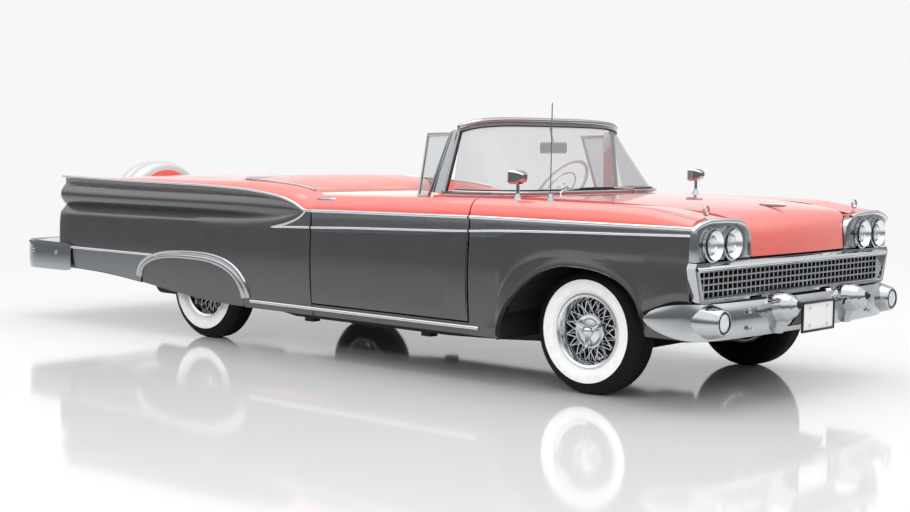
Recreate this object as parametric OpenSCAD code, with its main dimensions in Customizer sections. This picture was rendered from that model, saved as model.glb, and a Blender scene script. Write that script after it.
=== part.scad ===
// Two-tone open touring car of the late 1950s: separate frame, fins, wire wheels and an outside spare.
// Millimetres. X forward, Y left, Z up, origin on the floor under the middle of the overall length.

/* [Layout] */
// Distance between the two axles
wheelbase = 2997; // [2900:1:3100]
// Front axle to the tips of the front bumper bullets
front_overhang = 936; // [880:1:990]
// Rear axle to the back of the extended rear bumper
rear_overhang = 1803; // [1740:1:1860]
// Distance between the front wheel centre planes
front_track = 1500; // [1460:1:1520]
// Distance between the rear wheel centre planes
rear_track = 1434; // [1400:1:1444]

/* [Wheels] */
// Outside radius of the tyre
tyre_r = 322; // [312:1:328]
// Section width of the tyre
tyre_w = 190; // [170:1:196]
// Radius where the tyre seats on the rim
rim_r = 178; // [172:1:184]
// Number of spokes in each row of a wire wheel
spoke_count = 20; // [16:1:24]

/* [Body] */
// Half of the body width at its widest
half_width = 966; // [950:1:972]
// Height of the lower edge of the sills
sill_z = 248; // [240:1:256]
// Thickness of the outer panels
panel_t = 20; // [16:1:24]
// Shut line left around doors, hood and deck lid
shut_gap = 10; // [9:1:12]
// Front axle to the leading edge of the doors
door_setback = 685; // [670:1:700]
// Rear axle to the trailing edge of the doors
door_lead = 1132; // [1110:1:1150]
// Height of the crest of the fins at the tail
fin_z = 984; // [950:1:1000]
// Outward swell of the tube under the fin crest
fin_swell = 52; // [30:1:60]
// Length of the front arch at its foot
arch_length = 910; // [880:1:940]
// Top of the front arch
arch_top = 655; // [650:1:690]

/* [Glass] */
// Height of the windshield header
header_z = 1387; // [1340:1:1420]
// Thickness of the glass
glass_t = 7; // [5:1:9]

/* [Front] */
// Radius of a headlamp
lamp_r = 73; // [66:1:76]
// Number of upright bars in the grille
grille_bars = 44; // [30:1:60]
// Number of cross bars in the grille
grille_rows = 3; // [2:1:4]
// Height of the front bumper's upper edge
bumper_top = 521; // [500:1:530]
// Height of the front bumper's lower edge
bumper_foot = 347; // [335:1:360]

/* [Rear] */
// Outside radius of the spare wheel cover
spare_r = 345; // [320:1:352]
// Thickness of the spare wheel cover
spare_w = 218; // [200:1:226]
// Radius of a round tail lamp
tail_lamp_r = 104; // [90:1:110]

/* [Cabin] */
// Radius of the steering wheel rim
hand_wheel_r = 205; // [190:1:215]
// Tilt of the steering column above level
column_tilt = 35; // [30:1:38]
// Height of the front seat cushion's top
cushion_z = 560; // [530:1:590]

/* [Hidden] */

fit = 0.4;
total = front_overhang + wheelbase + rear_overhang;
xf = total / 2 - front_overhang;
xr = xf - wheelbase;
axle_z = tyre_r;
door_front = xf - door_setback;
door_rear = xr + door_lead;
nose_x = xf + 680;
tail_x = xr - 1345;
hood_rear = xf - 507;
deck_front = xr + 65;
floor_z = 306;
floor_t = 14;
side_in = 775;
kingpin_y = front_track / 2 - 60;
front_rail = kingpin_y - 265;
spring_y = rear_track / 2 - 132;
house_y = rear_track / 2 - tyre_w / 2 - 24;
widest_z = 560;

function mix(a, b, t) = a + (b - a) * t;
function unit(t) = min(max(t, 0), 1);
function ease(t) = unit(t) * unit(t) * (3 - 2 * unit(t));
function row_of(t, x) = len([for (i = [1:max(1, len(t) - 2)]) if (t[i][0] <= x) i]);
function slope(t, i, c) =
  let (a = max(i - 1, 0), b = min(i + 1, len(t) - 1))
  (t[b][c] - t[a][c]) / (t[b][0] - t[a][0]);
// Smooth curve through one column of a table whose first column is the station
function at(t, x, c) =
  let (i = min(row_of(t, x), len(t) - 2), h = t[i + 1][0] - t[i][0], s = unit((x - t[i][0]) / h))
  t[i][c] * (2 * s * s * s - 3 * s * s + 1) + h * slope(t, i, c) * (s * s * s - 2 * s * s + s)
    + t[i + 1][c] * (3 * s * s - 2 * s * s * s) + h * slope(t, i + 1, c) * (s * s * s - s * s);

// Six times the signed volume that a list of triangles encloses
function turned(p, f) = [for (t = f) p[t[0]] * cross(p[t[1]], p[t[2]])] * [for (t = f) 1];
module closed_form(p, f) {
  polyhedron(p, turned(p, f) > 0 ? [for (t = f) [t[0], t[2], t[1]]] : f, convexity = 6);
}
function quad(a, b, c, d) = [[a, b, c], [a, c, d]];

// Panel between an outer and an inner grid of points
module slab(outer, inner) {
  m = len(outer) - 1;
  k = len(outer[0]);
  n = (m + 1) * k;
  p = concat([for (r = outer) each r], [for (r = inner) each r]);
  skin = [for (i = [0:m - 1], j = [0:k - 2]) each
    quad(i * k + j, (i + 1) * k + j, (i + 1) * k + j + 1, i * k + j + 1)];
  back = [for (t = skin) [t[0] + n, t[2] + n, t[1] + n]];
  feet = [for (i = [0:m - 1]) each quad((i + 1) * k, i * k, i * k + n, (i + 1) * k + n)];
  tops = [for (i = [0:m - 1]) each
    quad(i * k + k - 1, (i + 1) * k + k - 1, (i + 1) * k + k - 1 + n, i * k + k - 1 + n)];
  start = [for (j = [0:k - 2]) each quad(j, j + 1, j + 1 + n, j + n)];
  end = [for (j = [0:k - 2]) each quad(m * k + j + 1, m * k + j, m * k + j + n, m * k + j + 1 + n)];
  closed_form(p, concat(skin, back, feet, tops, start, end));
}

// Bar drawn through a row of convex sections
module bar(sections, ring = false) {
  m = len(sections);
  k = len(sections[0]);
  p = [for (s = sections) each s];
  last = ring ? m - 1 : m - 2;
  skin = [for (i = [0:last], j = [0:k - 1]) each
    quad(i * k + j, ((i + 1) % m) * k + j, ((i + 1) % m) * k + (j + 1) % k, i * k + (j + 1) % k)];
  ends = ring ? [] : [for (j = [1:k - 2]) each
    [[0, j, j + 1], [(m - 1) * k, (m - 1) * k + j + 1, (m - 1) * k + j]]];
  closed_form(p, concat(skin, ends));
}

module both_sides() {
  children();
  mirror([0, 1, 0]) children();
}
module along_x(x, y, z, r, l) {
  translate([x, y, z]) rotate([0, 90, 0]) cylinder(r = r, h = l);
}
module along_y(x, y, z, r, l) {
  translate([x, y, z]) rotate([-90, 0, 0]) cylinder(r = r, h = l);
}
module box(x1, x2, y1, y2, z1, z2) {
  translate([x1, y1, z1]) cube([x2 - x1, y2 - y1, z2 - z1]);
}

// Lines of the front half of the side: station, lower strip z, upper strip z, crown y, crown z, seam y
LOW = 1;
UP = 2;
CROWN_Y = 3;
CROWN_Z = 4;
SEAM_Y = 5;
FORE = [
  [door_rear, 756, 852, 862, 944, 815],
  [door_rear + 267, 767, 857, 868, 948, 815],
  [door_rear + 889, 786, 865, 872, 963, 815],
  [door_front, 796, 869, 872, 968, 772],
  [hood_rear, 806, 870, 871, 970, 706],
  [xf - 139, 819, 871, 870, 970, 690],
  [xf + 368, 832, 872, 862, 963, 640],
  [nose_x, 841, 872, 858, 918, 585]
];

// Lines of the rear half: station, groove z, crest z, crest y, swell 0 to 1, inner edge y, inner edge z
GROOVE = 1;
CREST_Z = 2;
CREST_Y = 3;
SWELL = 4;
EDGE_Y = 5;
EDGE_Z = 6;
AFT = [
  [tail_x, 790, fin_z, 922, 1, 640, 950],
  [xr - 1000, 791, fin_z - 6, 922, 1, 648, 984],
  [xr - 590, 793, fin_z - 11, 923, 0.98, 652, 1000],
  [deck_front - 45, 797, fin_z - 15, 925, 0.92, 655, 1004],
  [deck_front, 797, fin_z - 15, 926, 0.91, 661, 1004],
  [xr + 300, 800, fin_z - 20, 928, 0.85, 762, 1005],
  [xr + 560, 803, fin_z - 30, 932, 0.72, 772, 1002],
  [xr + 835, 812, fin_z - 58, 938, 0.42, 785, 986],
  [xr + 975, 832, fin_z - 94, 942, 0.16, 797, 966],
  [xr + 1053, 846, fin_z - 128, 945, 0.03, 806, 951],
  [door_rear - shut_gap, 843, fin_z - 132, 950, 0.03, 812, 944]
];

// Half width of the lower side at a height
function side_y(z) =
  z < widest_z
    ? half_width - 32 * pow((widest_z - z) / (widest_z - sill_z), 2)
    : half_width - 16 * pow((z - widest_z) / 280, 2);

// Lower edge of the body over the wheel openings
front_mid = xf - 27;
front_half = arch_length / 2;
rear_mid = xr + 43;
rear_half = 494;
skirt_top = 518;
function hump(x, mid, half, p) = pow(max(0, 1 - pow(abs(x - mid) / half, p)), 1 / p);
nose_foot = bumper_foot - 2;
function front_foot(x) =
  let (base = x > front_mid ? nose_foot : sill_z)
  base + (arch_top - base) * (abs(x - front_mid) < front_half ? hump(x, front_mid, front_half, 2.6) : 0);
function rear_base(x) = mix(sill_z, 372, ease((rear_mid + 400 - x) / 1500));
function rear_foot(x) =
  rear_base(x) + (skirt_top - rear_base(x)) * (abs(x - rear_mid) < rear_half ? hump(x, rear_mid,
      rear_half, 2.8) : 0);
function spread(mid, half, n) = [for (i = [0:n]) mid + half * sin(mix(-90, 90, i / n))];

// Crease over the front arch: the metal below it stands proud
function crease(x) =
  max(front_foot(x) + 62, x > front_mid ? arch_top + 62 : 0);
function flare(x, z) = 10 * ease((x - door_front - 60) / 160) * (1 - ease((z - crease(x) + 16) / 30));

// Ahead of the front arch the lower edge tucks in behind the bumper's wrap
wing_end = xf + 592;
function wing_top(x) = bumper_top - (x < wing_end ? 8 + 0.38 * (wing_end - x) : 0);
function ahead(x) = x > front_mid + front_half - 1;
function foot_z(x, foot, top, i) =
  ahead(x) ? [foot, wing_top(x) + 3, wing_top(x) + 16, top][i] : mix(foot, top, [0, 0.35, 0.7, 1][i]);
function tuck(x, z) = ahead(x) && z < wing_top(x) + 10 ? 22 : 0;

// Front half of the side from the lower edge up over the shoulder: y, z, share of thickness in y, in z
function fore_profile(x, foot, seam) =
  let (
    low = at(FORE, x, LOW), up = at(FORE, x, UP), cy = at(FORE, x, CROWN_Y), cz = at(FORE, x, CROWN_Z),
    by = side_y(low), c = min(max(crease(x), foot + 40), low - 50)
  )
  concat(
    [for (t = [0, 1, 2, 3]) let (z = foot_z(x, foot, c - 16, t)) [side_y(z) + flare(x, z) - tuck(x, z), z,
        1, 0]],
    [for (t = [0, 0.5, 1]) let (z = mix(c + 14, low, t)) [side_y(z), z, 1, 0]],
    [[by - 5, mix(low, up, 0.5), 1, 0]],
    [for (a = [0:15:90]) [mix(cy, by - 1, cos(a)), mix(up, cz, sin(a)), cos(a), sin(a)]],
    [for (t = [0.35, 0.7, 1]) [mix(cy, seam, t), cz - 9 * t, 0, 1]]
  );

module fore_panel(stations) {
  rows = [for (x = stations) [x, fore_profile(x, front_foot(x), at(FORE, x, SEAM_Y))]];
  slab(
    [for (r = rows) [for (p = r[1]) [r[0], p[0], p[1]]]],
    [for (r = rows) [for (p = r[1]) [r[0], p[0] - panel_t * p[2], p[1] - panel_t * p[3]]]]
  );
}

module front_fender() {
  fore_panel(concat(
    [door_front + shut_gap, door_front + 90],
    [for (x = spread(front_mid, front_half, 16)) x],
    [mix(front_mid + front_half, nose_x, 0.33), mix(front_mid + front_half, nose_x, 0.7), nose_x]
  ));
}

// Rear half of the side: y, z, share of thickness in y and z
function aft_profile(x, foot) =
  let (
    gz = at(AFT, x, GROOVE), cz = at(AFT, x, CREST_Z), cy = at(AFT, x, CREST_Y), w = at(AFT, x, SWELL),
    ey = at(AFT, x, EDGE_Y), ez = at(AFT, x, EDGE_Z),
    gy = side_y(gz) - 46 * w, sz = gz - 14 - 34 * w, sy = side_y(sz),
    ny = cy - 20 * w, nz = cz - 3 - 38 * w
  )
  concat(
    [for (t = [0, 0.16, 0.34, 0.55, 0.78, 1]) let (z = mix(foot, sz, t)) [side_y(z), z, 1, 0]],
    [[mix(sy, gy, 0.6), mix(sz, gz, 0.55), 1, 0]],
    [[gy, gz, 1, 0]],
    [for (t = [0.14, 0.34, 0.56, 0.8]) [mix(gy, ny, t) + fin_swell * w * sin(180 * t), mix(gz, nz, t), 1, 0]],
    [[ny, nz, 1, 0.1]],
    [[cy, cz - 2, 0.8, 0.5]],
    [[cy - 3 - 9 * w, cz, 0.6, 0.8]],
    [for (t = [0.14, 0.36, 0.62, 1]) let (a = 90 * t)
      [mix(cy - 3 - 9 * w, ey, 1 - cos(a)), mix(cz, ez, sin(a)), 0.5 * cos(a), 1]]
  );

cabin_end = xr + 430;
tail_in = 630;
function cabin(x) = ease((x - cabin_end) / 60);
function wall(x, y, s) = mix(y - panel_t * s, min(y - panel_t * s, side_in), cabin(x));

module quarter() {
  stations = concat(
    [for (x = spread(rear_mid, rear_half, 14)) x],
    [for (x = [xr + 640, xr + 740, xr + 835, xr + 905, xr + 975, xr + 1030, xr + 1080,
        door_rear - shut_gap]) x]
  );
  run = concat(
    [for (s = [[0, 300], [0, 46], [3, 22], [12, 8], [34, 0]]) [tail_x + s[0], s[1]]],
    [for (t = [0.3, 0.65]) [mix(tail_x, rear_mid - rear_half, t), 0]],
    [for (x = stations) [x, 0]]
  );
  rows = [for (s = run) [s[0], s[1], aft_profile(s[0], rear_foot(s[0]))]];
  last = len(rows[0][2]) - 1;
  slab(
    [for (r = rows) [for (j = [0:last]) let (p = r[2][j])
      r[1] > 200 ? [r[0], tail_in, mix(r[2][0][1], r[2][last][1], j / last)] : [r[0], max(p[0] - r[1],
          tail_in + 10), p[1]]]],
    [for (r = rows) [for (j = [0:last]) let (p = r[2][j])
      r[1] > 200 ? [r[0] + panel_t, tail_in, mix(r[2][0][1], r[2][last][1] - panel_t, j / last)]
      : [r[0] + panel_t * ease(r[1] / 30), max(wall(r[0], p[0] - r[1], p[2]), tail_in + 10),
        mix(p[1] - panel_t * p[3], mix(r[2][0][1], r[2][last][1] - panel_t, j / last), cabin(r[0]))]]]
  );
}

// Door: full depth from the skin to the trim, trailing edge bevelled inwards
door_foot = 322;
door_in = 806;
hinge_x = door_front - 55;
hinge_y = 944;
HINGE_Z = [440, 690];
module door_shell() {
  xs = [door_rear, door_rear + 60, door_rear + 267, door_rear + 580, door_rear + 889, door_front - 60,
      door_front];
  rows = [for (x = xs) [x, fore_profile(x, door_foot, 815), x == door_rear ? 26 : x == door_front ? -16 : 0]];
  last = len(rows[0][1]) - 1;
  slab(
    [for (r = rows) [for (p = r[1]) [r[0], p[0], p[1]]]],
    [for (r = rows) [for (j = [0:last]) let (p = r[1][j], lip = r[1][last][1] - 16)
      [r[0] + r[2], door_in, j < 8 ? p[1] : mix(r[1][7][1], lip, (j - 7) / (last - 7))]]]
  );
}

module door() {
  difference() {
    door_shell();
    for (z = HINGE_Z) {
      box(hinge_x - 20, door_front + 12, door_in - 20, hinge_y + 14, z - 6, z + 46);
      translate([hinge_x, hinge_y, z - 20]) cylinder(r = 6.5, h = 74);
    }
  }
}

// Vent window: a bright frame standing on the door with its own pane
VENT = [[door_front - 397, 824, 952], [door_front - 475, 824, 952], [door_front - 516, 706, 1305],
    [door_front - 338, 706, 1312]];
function vent_in(w) = let (m = (VENT[0] + VENT[1] + VENT[2] + VENT[3]) / 4)
  [for (v = VENT) v + (m - v) * w / norm(m - v)];
module vent_window() {
  rim = vent_in(22);
  bar([for (i = [0:3]) [VENT[i] - [0, 7, 0], VENT[i] + [0, 7, 0], rim[i] + [0, 7, 0], rim[i] - [0, 7,
      0]]], true);
  pane = vent_in(22 + fit);
  bar([for (s = [-2.5, 2.5]) [for (v = pane) v + [0, s, 0]]]);
}

// Windshield: base and top curves bowed forward and wrapped round to the pillars
function bow(a, mid, reach, half, p) =
  [mid + reach * pow(abs(cos(a)), 2 / p), half * sign(a) * pow(abs(sin(a)), 2 / p)];
screen_x = xf - 1002;
function screen(a, t, d = 0) =
  let (
    b = bow(a, screen_x, 440 + d, 797 + d, 4), h = bow(a, screen_x + 25, 76 + d, 704 + d, 4),
    z = mix(982, header_z - 62 + 46 * cos(a), t)
  )
  [mix(b[0], h[0], t), mix(b[1], h[1], t), z];
SWEEP = [for (a = [-90:9:90]) a];

module windshield_glass() {
  slab(
    [for (a = SWEEP) [for (t = [0, 0.33, 0.66, 1]) screen(a * 0.985, t, 0)]],
    [for (a = SWEEP) [for (t = [0, 0.33, 0.66, 1]) screen(a * 0.985, t, -glass_t)]]
  );
}
module windshield_frame() {
  bar([for (a = SWEEP) let (p = screen(a, 0.97, 8), q = screen(a, 0.97, -20))
    [p, p + [-4, 0, 32], q + [0, 0, 32], q]]);
  bar([for (a = SWEEP) let (p = screen(a, 0, 12), q = screen(a, 0, -14))
    [p + [0, 0, -3], p + [-4, 0, 12], q + [0, 0, 14], q + [0, 0, -3]]]);
  both_sides() bar([for (t = [0, 0.5, 1]) let (p = screen(90, t), w = mix(72, 38, t))
    [p + [12, 9, 0], p + [-w, 9, 0], p + [-w, -18, 0], p + [12, -18, 0]]]);
}

// Cowl: bright-work ledge under the glass out to the hood, fenders and doors
function cowl_edge(a) =
  let (s = abs(a) / 90, sx = mix(hood_rear - shut_gap, door_front + shut_gap, unit((s - 0.45) / 0.2)))
  s < 0.45 ? [hood_rear - shut_gap, sign(a) * 697 * s / 0.45]
  : s < 0.65 ? [sx, sign(a) * (at(FORE, sx, SEAM_Y) - shut_gap)]
  : [mix(door_front - 4, screen_x - 70, (s - 0.65) / 0.35), sign(a) * 802];
module cowl_top() {
  rows = [for (a = SWEEP) let (e = cowl_edge(a), b = screen(a, 0, -34), u = abs(a) / 90)
    [[b[0], b[1] , 979], [e[0], e[1], mix(979, u < 0.5 ? 974 : 966, 1) + 3 * cos(a)]]];
  slab(rows, [for (r = rows) [for (p = r) p - [0, 0, 18]]]);
  box(wall_x + fit, wall_x + 48, -600, 600, 925 + fit, 968);
}
wall_x = door_front + 65;
// Gooseneck strap with its pin for a door, and the post that carries the hood's pin
module door_strap(z) {
  box(hinge_x - 9, door_front + 24, 880, 898, z, z + 40);
  box(hinge_x - 9, hinge_x + 9, 880, hinge_y, z, z + 40);
  translate([hinge_x, hinge_y, z]) cylinder(r = 10, h = 40);
  translate([hinge_x, hinge_y, z - 16]) cylinder(r = 6, h = 66);
}
hood_pin_x = hood_rear + 130;
hood_pin_z = 950;
module hood_post() {
  box(wall_x + 13, hood_pin_x + 9, 240, 260, 800, 840);
  difference() {
    union() {
      box(hood_pin_x - 9, hood_pin_x + 9, 240, 260, 800, hood_pin_z);
      along_y(hood_pin_x, 240, hood_pin_z, 9, 20);
    }
    along_y(hood_pin_x, 239, hood_pin_z, 5.5, 22);
  }
}
module firewall() {
  difference() {
    union() {
      box(wall_x + fit, wall_x + 14, -905, 905, floor_z + floor_t + fit, 925);
      both_sides() box(door_front + 22, wall_x + 1, 712, 905, floor_z + floor_t + fit, 925);
      both_sides() for (z = HINGE_Z) door_strap(z);
      both_sides() hood_post();
    }
    box(wall_x - 1, wall_x + 20, -178, 178, 300, 486);
  }
}

// Hood: station, centre z, half width, drop at the edge
HOOD = [
  [hood_rear, 986, 697, 13], [xf - 232, 988, 681, 15], [xf + 18, 985, 668, 17], [xf + 268, 977, 641, 17],
  [xf + 488, 961, 606, 16], [xf + 600, 945, 584, 15], [nose_x - 22, 928, 574, 14], [nose_x + 6, 907, 545, 12],
  [nose_x + 28, 876, 500, 9], [nose_x + 42, 834, 473, 6], [nose_x + 50, 780, 472, 3], [nose_x + 53, 726,
      471, 0]
];
FAN = [1, 0.97, 0.86, 0.7, 0.5, 0.25, 0, -0.25, -0.5, -0.7, -0.86, -0.97, -1];
module hood() {
  hood_skin();
  both_sides() {
    along_y(hood_pin_x, 238, hood_pin_z, 5, 40);
    box(hood_pin_x - 16, hood_pin_x + 16, 264, 280, hood_pin_z - 8, 972);
  }
}
module hood_skin() {
  n = len(HOOD) - 1;
  rows = [for (i = [0:n]) let (h = HOOD[i], a = HOOD[max(i - 1, 0)], b = HOOD[min(i + 1, n)],
      d = [b[0] - a[0], b[1] - a[1]] / norm([b[0] - a[0], b[1] - a[1]]))
    [h, [for (u = FAN) [h[0] - 14 * u * u * unit(i / n), h[2] * u, h[1] - h[3] * pow(abs(u), 2.4)]], d]];
  slab([for (r = rows) r[1]], [for (r = rows) [for (p = r[1]) p + panel_t * [r[2][1], 0, -r[2][0]]]]);
}

// Deck lid: station, centre z, half width, drop at the edge
DECK = [
  [tail_x + 14, 664, 622, 0], [tail_x + 14, 770, 622, 0], [tail_x + 17, 862, 623, 2], [tail_x + 32, 918,
      625, 6],
  [tail_x + 72, 950, 630, 10], [tail_x + 165, 974, 634, 12], [xr - 935, 999, 640, 12], [xr - 590, 1014,
      642, 13],
  [xr - 235, 1018, 646, 13], [deck_front - 5, 1017, 647, 13]
];
module deck_lid() {
  deck_skin();
  both_sides() {
    along_y(deck_pin_x, 238, deck_pin_z, 5, 40);
    box(deck_pin_x - 16, deck_pin_x + 16, 264, 280, deck_pin_z - 8, 1006);
  }
}
module deck_skin() {
  n = len(DECK) - 1;
  rows = [for (i = [0:n]) let (h = DECK[i], a = DECK[max(i - 1, 0)], b = DECK[min(i + 1, n)],
      d = [b[0] - a[0], b[1] - a[1]] / norm([b[0] - a[0], b[1] - a[1]]))
    [[for (u = FAN) [h[0] + 10 * u * u * (1 - unit(i / 4)), h[2] * u, h[1] - h[3] * u * u]], d]];
  slab([for (r = rows) r[0]], [for (r = rows) [for (p = r[0]) p + panel_t * [r[1][1], 0, -r[1][0]]]]);
}
deck_pin_x = deck_front - 195;
deck_pin_z = 978;
module deck_bracket() {
  box(deck_front + 20, deck_front + 38, 240, 260, 800, 1000);
  box(deck_pin_x - 9, deck_front + 38, 240, 260, 800, 820);
  difference() {
    union() {
      box(deck_pin_x - 9, deck_pin_x + 9, 240, 260, 800, deck_pin_z);
      along_y(deck_pin_x, 240, deck_pin_z, 9, 20);
    }
    along_y(deck_pin_x, 239, deck_pin_z, 5.5, 22);
  }
}
// The panel's edge runs straight between the stations of the quarter beside it
BESIDE = spread(rear_mid, rear_half, 14);
function beside(x, c) =
  let (i = len([for (b = BESIDE) if (b <= x) b]) - 1)
  mix(at(AFT, BESIDE[i], c), at(AFT, BESIDE[i + 1], c), (x - BESIDE[i]) / (BESIDE[i + 1] - BESIDE[i]));
module rear_deck() {
  xs = concat([deck_front + 4], [for (b = BESIDE) if (b > deck_front + 10 && b < xr + 285) b], [xr + 292]);
  rows = [for (x = xs)
    [for (u = FAN) [x, (beside(x, EDGE_Y) - 0.5) * u, beside(x, EDGE_Z) + 12 * (1 - u * u)]]];
  slab(rows, [for (r = rows) [for (p = r) p - [0, 0, panel_t]]]);
  both_sides() deck_bracket();
}
module tail_panel() {
  box(tail_x + 2, tail_x + 20, -tail_in + fit, tail_in - fit, 400, 654);
}

module fender_skirts() {
  xs = [for (i = [1:13]) spread(rear_mid, rear_half, 14)[i]];
  both_sides() slab(
    [for (x = xs) [for (t = [0, 0.33, 0.66, 1]) let (z = mix(rear_base(x) + 3, rear_foot(x) - fit, t)) [x,
        side_y(z) - 5, z]]],
    [for (x = xs) [for (t = [0, 0.33, 0.66, 1]) let (z = mix(rear_base(x) + 3, rear_foot(x) - fit, t)) [x,
        side_y(z) - 19, z]]]
  );
}
module rockers() {
  both_sides() translate([door_rear - shut_gap + fit, 0, 0]) rotate([90, 0, 90])
    linear_extrude(door_front - door_rear + 2 * shut_gap - 2 * fit)
      polygon([[790, sill_z], [926, sill_z], [938, 276], [942, 312], [790, 312]]);
}

// Front face
face_x = nose_x + fit;
module grille_surround() {
  difference() {
    translate([face_x, 0, 0]) rotate([90, 0, 90]) linear_extrude(48)
      polygon([[-972, 715], [-986, 690], [-940, 530], [-925, 523], [925, 523], [940, 530], [986, 690],
          [972, 715]]);
    translate([face_x - 1, 0, 0]) rotate([90, 0, 90]) linear_extrude(60)
      polygon([[-958, 672], [-915, 541], [915, 541], [958, 672]]);
  }
}
module grille() {
  translate([face_x + 4, 0, 0]) rotate([90, 0, 90]) linear_extrude(16) difference() {
    polygon([[-957, 671.5], [-914.3, 541.5], [914.3, 541.5], [957, 671.5]]);
    pitch_y = 1900 / grille_bars;
    pitch_z = 130 / (grille_rows + 1);
    for (i = [0:grille_bars - 1]) for (j = [0:grille_rows]) {
      cy = (i + 0.5) * pitch_y - 950;
      cz = 541.5 + (j + 0.5) * pitch_z;
      if (abs(cy) + pitch_y / 2 < 910 + (cz - 560) * 0.33)
        translate([cy, cz]) square([pitch_y - 9, pitch_z - 8], center = true);
    }
  }
}
LAMPS = [[841, 796], [671, 798]];
module lamp_bezels() {
  both_sides() difference() {
    translate([face_x, 0, 0]) rotate([90, 0, 90]) linear_extrude(40)
      polygon([[962, 872], [925, 892], [858, 906], [600, 899], [558, 890], [516, 868], [486, 838], [486,
          724], [970, 719]]);
    for (l = LAMPS) along_x(face_x - 1, l[0], l[1], lamp_r + fit, 60);
  }
}
module headlamps() {
  both_sides() for (l = LAMPS) translate([face_x - 40, l[0], l[1]]) rotate([0, 90, 0]) rotate_extrude()
    polygon(concat([[0, 0], [lamp_r, 0]], [for (a = [0:15:90]) [lamp_r * cos(a), 70 + 18 * sin(a)]]));
}

// Bumper sections: depth behind the face and height, from the foot up over the face
function blade(foot, top) = [[0.75, foot + 4], [0.36, foot], [0.08, mix(foot, top, 0.2)], [0, mix(foot,
    top, 0.5)],
  [0.1, mix(foot, top, 0.82)], [0.42, top], [0.9, top - 8], [1, mix(foot, top, 0.5)]];
// A bumper's half path: station, half width, depth, foot, top
module bumper(path) {
  n = len(path) - 1;
  full = concat([for (i = [n:-1:1]) let (r = path[i]) [r[0], -r[1], r[2], r[3], r[4]]], path);
  m = len(full) - 1;
  s = sign(path[0][0]);
  bar([for (i = [0:m]) let (r = full[i], a = full[max(i - 1, 0)], b = full[min(i + 1, m)],
      t = [b[0] - a[0], b[1] - a[1]],
      d = s * [-t[1], t[0]] / norm(t))
    [for (q = blade(r[3], r[4])) [r[0] + d[0] * r[2] * q[0], r[1] + d[1] * r[2] * q[0], q[1]]]]);
}
bow_x = xf + 822;
module front_bumper() {
  f = bumper_foot;
  t = bumper_top;
  bumper([[bow_x, 0, 70, f, t], [bow_x - 4, 320, 70, f, t], [bow_x - 16, 620, 68, f, t], [bow_x - 32, 800,
      62, f, t],
    [bow_x - 54, 880, 52, f, t], [bow_x - 86, 938, 30, f, t], [bow_x - 142, 974, 14, f, t],
    [bow_x - 230, 985, 24, f + 12, t - 8], [bow_x - 310, 986, 28, f + 34, t - 30], [bow_x - 356, 982, 22,
        f + 54, t - 50],
    [bow_x - 384, 974, 12, f + 74, t - 70]]);
  both_sides() box(xf + 628 + fit, bow_x - 60, front_rail - 20, front_rail + 20, 340, 390);
}
// A leg under each bullet, from its waist down to the bumper's foot: height, half width, reach
LEG = [[bumper_foot + 4, 26, 10], [bumper_foot + 40, 36, 26], [bumper_foot + 84, 52, 52],
    [bumper_foot + 122, 66, 66]];
module guard_leg() {
  bar([for (r = LEG) [for (c = [[-1, 0], [-1, 0.55], [-0.6, 1], [0.6, 1], [1, 0.55], [1, 0]])
    [bow_x - 30 + (30 + r[2]) * c[1], 356 + r[1] * c[0], r[0]]]]);
}
module bumper_guards() {
  both_sides() guard_leg();
  both_sides() translate([bow_x - 40, 356, 470]) rotate([0, 80, 0]) rotate_extrude()
    polygon([[0, 0], [78, 0], [80, 40], [70, 84], [52, 118], [40, 128], [20, 146], [0,
        total / 2 - bow_x + 40]]);
}
module parking_lamps() {
  both_sides() translate([bow_x - 75, 868, 438]) rotate([0, 90, 0]) rotate_extrude()
    polygon([[0, 0], [58, 0], [58, 62], [50, 70], [46, 72], [30, 79], [0, 82]]);
}
PLATE_X = 177.8;
PLATE_Z = 88.9;
module number_plate() {
  difference() {
    union() {
      box(bow_x + 12, bow_x + 17, -155, 155, bumper_foot, bumper_foot + 130);
      box(bow_x + fit, bow_x + 13, -60, 60, 420, 450);
    }
    for (y = [-1, 1]) for (z = [-1, 1])
      along_x(bow_x + 5, y * PLATE_X / 2, bumper_foot + 65 + z * PLATE_Z / 2, 3.6, 20);
  }
}

// Rear
back_x = -total / 2;
module rear_bumper() {
  bumper([[back_x, 0, 60, 350, 541], [back_x + 2, 400, 60, 350, 541], [back_x + 10, 700, 56, 350, 541],
    [back_x + 32, 860, 44, 350, 541], [back_x + 78, 940, 30, 350, 541], [back_x + 140, 972, 18, 350, 541],
    [back_x + 300, 983, 14, 350, 541], [back_x + 600, 984, 12, 352, 539], [back_x + 628, 980, 6, 362, 530]]);
  difference() {
    box(back_x + 50, tail_x - fit, -900, 900, 522, 534);
    box(spare_x - spare_w / 2 - 14, spare_x + spare_w / 2 + 6, -318, 318, 480, 540);
  }
  both_sides() box(back_x + 130, tail_x - fit, 895, 968, 522, 534);
  box(spare_x + spare_w / 2 + fit, tail_x + 2 - fit, -70, 70, 440, 525);
}
spare_x = tail_x - 148;
spare_z = header_z - 653;
module spare_wheel_cover() {
  translate([spare_x - spare_w / 2, 0, spare_z]) rotate([0, 90, 0]) rotate_extrude()
    polygon([[0, 14], [spare_r - 74, 14], [spare_r - 66, 4], [spare_r - 44, 0], [spare_r - 16, 8],
        [spare_r - 3, 26],
      [spare_r, 50], [spare_r, spare_w - 40], [spare_r - 12, spare_w - 12], [spare_r - 40, spare_w], [0,
          spare_w]]);
}
module tail_lamps() {
  both_sides() translate([tail_x - fit, 762, 640]) rotate([0, -90, 0]) rotate_extrude()
    polygon([[0, 0], [tail_lamp_r, 0], [tail_lamp_r, 16], [tail_lamp_r - 14, 24], [60, 32], [0, 38]]);
}

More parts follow.
